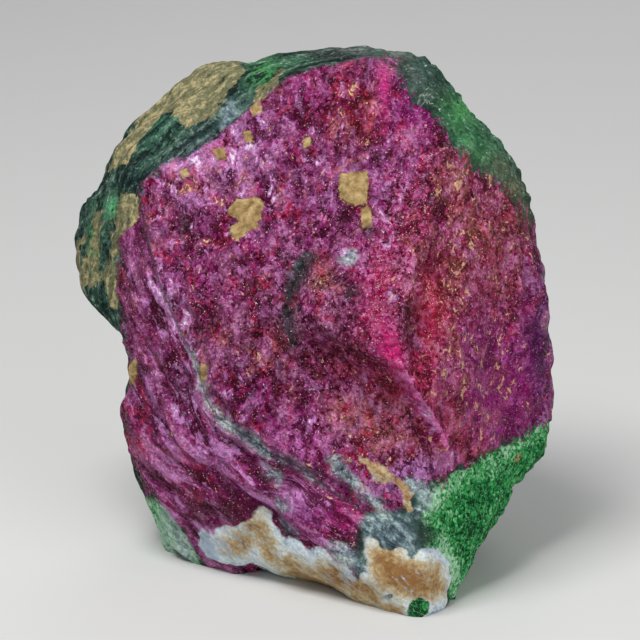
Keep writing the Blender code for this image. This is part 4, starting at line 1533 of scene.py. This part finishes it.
class StoneSizes(bpy.types.PropertyGroup):
    """How finely the stone is worked out and how rough it is."""

    squares: IntProperty(
        name="Squares",
        description="Squares along each side of the grid that the surface is made from",
        default=128,
        min=16,
        max=128,
    )
    relief: FloatProperty(
        name="Relief",
        description="Height of the grains, furrows and patches; 1 is as found",
        default=1.0,
        min=0.0,
        max=1.5,
        subtype="FACTOR",
    )


class StoneColours(bpy.types.PropertyGroup):
    """Colours of the minerals."""

    # Ruby shadow also darkens the hollows between crystals as painted shade, and Ruby light brightens
    # crystal tops as painted light.
    ruby_shadow: shade("Ruby shadow", "Multiplies the ruby's tone between grains", 140, 48, 106)
    ruby_light: shade("Ruby light", "Laid over the ruby's tone on bright grains", 214, 144, 194)
    ruby_purple: shade("Ruby purple", "Magenta clouds of the ruby", 132, 6, 98)
    ruby_rose: shade("Ruby rose", "Dusty rose clouds of the ruby", 174, 92, 92)
    ruby_red: shade("Ruby red", "Crimson clouds of the ruby", 164, 18, 60)
    # Dark grains, which under the nose and beside the crest are painted shade.
    ruby_dark_grain_and_shade: shade("Ruby dark grain", "Darkest grains of the ruby", 60, 2, 32)
    # Painted highlight on the tops of the sharp ridges.
    ridge: shade("Ridge", "Lit tops of the ruby's sharp ridges", 252, 138, 206)
    cell_wall: shade("Cell wall", "Pale walls between crystal cells", 226, 150, 196)
    fleck: shade("Lilac fleck", "Soft lilac flecks of the ruby", 206, 136, 200)
    fleck_white: shade("White fleck", "Whitest middles of the flecks", 240, 224, 244)
    rust: shade("Rust", "Rusty stain of the ruby", 142, 78, 60)
    gold: shade("Gold grain", "Small golden grains of the ruby", 224, 172, 140)
    # Painted glints: tiny bright spots laid into the colour of all minerals.
    painted_glint: shade("Glint", "Tiny bright glints of all minerals", 238, 214, 220)
    rind_black: shade("Rind black", "Blackest streaks of the rind", 4, 18, 18)
    rind_light: shade("Rind light green", "Laid over the bright streaks of the rind", 112, 134, 116)
    rind_pale: shade("Rind pale grain", "Palest grains of the rind", 182, 200, 186)
    rind_grey: shade("Rind grey", "Pale grey layers of the rind", 142, 156, 148)
    rind_olive: shade("Rind olive", "Olive edges of the tan layers", 92, 94, 66)
    rind_tan: shade("Rind tan", "Main colour of the tan layers", 116, 114, 86)
    rind_yellow: shade("Rind yellow", "Yellow streaks of the tan layers", 176, 162, 118)
    green_dark: shade("Wedge dark green", "Dark grains of the green wedge", 4, 64, 28)
    green: shade("Wedge green", "Main colour of the green wedge", 28, 136, 66)
    green_mid: shade("Wedge light green", "Light grains of the green wedge", 80, 172, 98)
    green_pale: shade("Wedge pale green", "Palest grains and border of the wedge", 172, 215, 180)
    crust_blue: shade("Crust blue", "Bluish grey places of the crust", 164, 180, 196)
    crust_rim: shade("Crust rim", "Bluish white rims of the crust", 212, 222, 224)
    crust_cream: shade("Crust cream", "Cream of the crust", 194, 191, 174)
    crust_tan: shade("Crust tan", "Tan of the crust", 178, 154, 112)
    crust_brown: shade("Crust brown", "Brown middles of the crust", 140, 102, 62)
    vein_dark: shade("Vein dark", "Dark parts of the veins", 58, 72, 80)
    vein_grey: shade("Vein grey", "Slate grey of the veins", 98, 116, 124)
    vein_blue: shade("Vein blue", "Blue-grey of the veins", 146, 168, 172)
    vein_mint: shade("Vein mint", "Pale mint parts of the veins", 198, 216, 208)
    tan_dark: shade("Patch dark", "Spots of the tan patches", 118, 94, 62)
    tan: shade("Patch tan", "Main colour of the tan patches", 156, 130, 86)
    tan_light: shade("Patch light", "Pale parts of the tan patches", 186, 162, 118)
    crease: shade("Crease", "Dark creases of the front", 38, 48, 48)


class StageLook(bpy.types.PropertyGroup):
    """Floor and light."""

    floor_colour: shade("Floor", "Colour of the floor", 200, 200, 198)
    key_power: FloatProperty(
        name="Main light",
        description="Power of the main light, in watts",
        default=1.0,
        min=0.0,
        soft_max=10.0,
        unit="POWER",
    )


class MESH_OT_ruby_zoisite_stone(bpy.types.Operator):
    """Builds the dressed stone in place of the plain solid"""

    bl_idname = "mesh.ruby_zoisite_stone"
    bl_label = "Dressed Stone"

    def execute(self, context):
        stone = make_stone(context.scene.stone_sizes)
        stone.data.materials.append(stone_material(context.scene.stone_colours))
        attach(stone, "root")
        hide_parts(NODE)
        return {"FINISHED"}


class SCENE_OT_stone_stage(bpy.types.Operator):
    """Adds the floor, the light and the camera"""

    bl_idname = "scene.stone_stage"
    bl_label = "Plain Stage"

    def execute(self, context):
        look = context.scene.stage_look
        make_floor(look.floor_colour)
        make_world()
        for name, place, size, share in LAMPS:
            make_lamp(name, place, size, share * look.key_power)
        make_camera()
        context.scene.view_settings.view_transform = "Standard"
        return {"FINISHED"}


class VIEW3D_PT_ruby_zoisite(bpy.types.Panel):
    """Settings and buttons for the stone"""

    bl_label = "Ruby in Zoisite"
    bl_space_type = "VIEW_3D"
    bl_region_type = "UI"
    bl_category = "Stone"

    def draw(self, context):
        layout = self.layout
        for group in GROUPS:
            settings = getattr(context.scene, group)
            for name in settings.__annotations__:
                layout.prop(settings, name)
        for operator in OPERATORS:
            layout.operator(operator.bl_idname)


GROUPS = {"stone_sizes": StoneSizes, "stone_colours": StoneColours, "stage_look": StageLook}
OPERATORS = (MESH_OT_ruby_zoisite_stone, SCENE_OT_stone_stage)


def register():
    """Registers the settings, the operators and the panel."""
    for name, group in GROUPS.items():
        bpy.utils.register_class(group)
        setattr(bpy.types.Scene, name, PointerProperty(type=group))
    for made in (*OPERATORS, VIEW3D_PT_ruby_zoisite):
        bpy.utils.register_class(made)


def unregister():
    """Takes back all that register added."""
    for made in (VIEW3D_PT_ruby_zoisite, *reversed(OPERATORS)):
        bpy.utils.unregister_class(made)
    for name, group in GROUPS.items():
        delattr(bpy.types.Scene, name)
        bpy.utils.unregister_class(group)


def main():
    """Builds the stone and its stage."""
    register()
    bpy.ops.mesh.ruby_zoisite_stone()
    bpy.ops.scene.stone_stage()


if __name__ == "__main__":
    main()
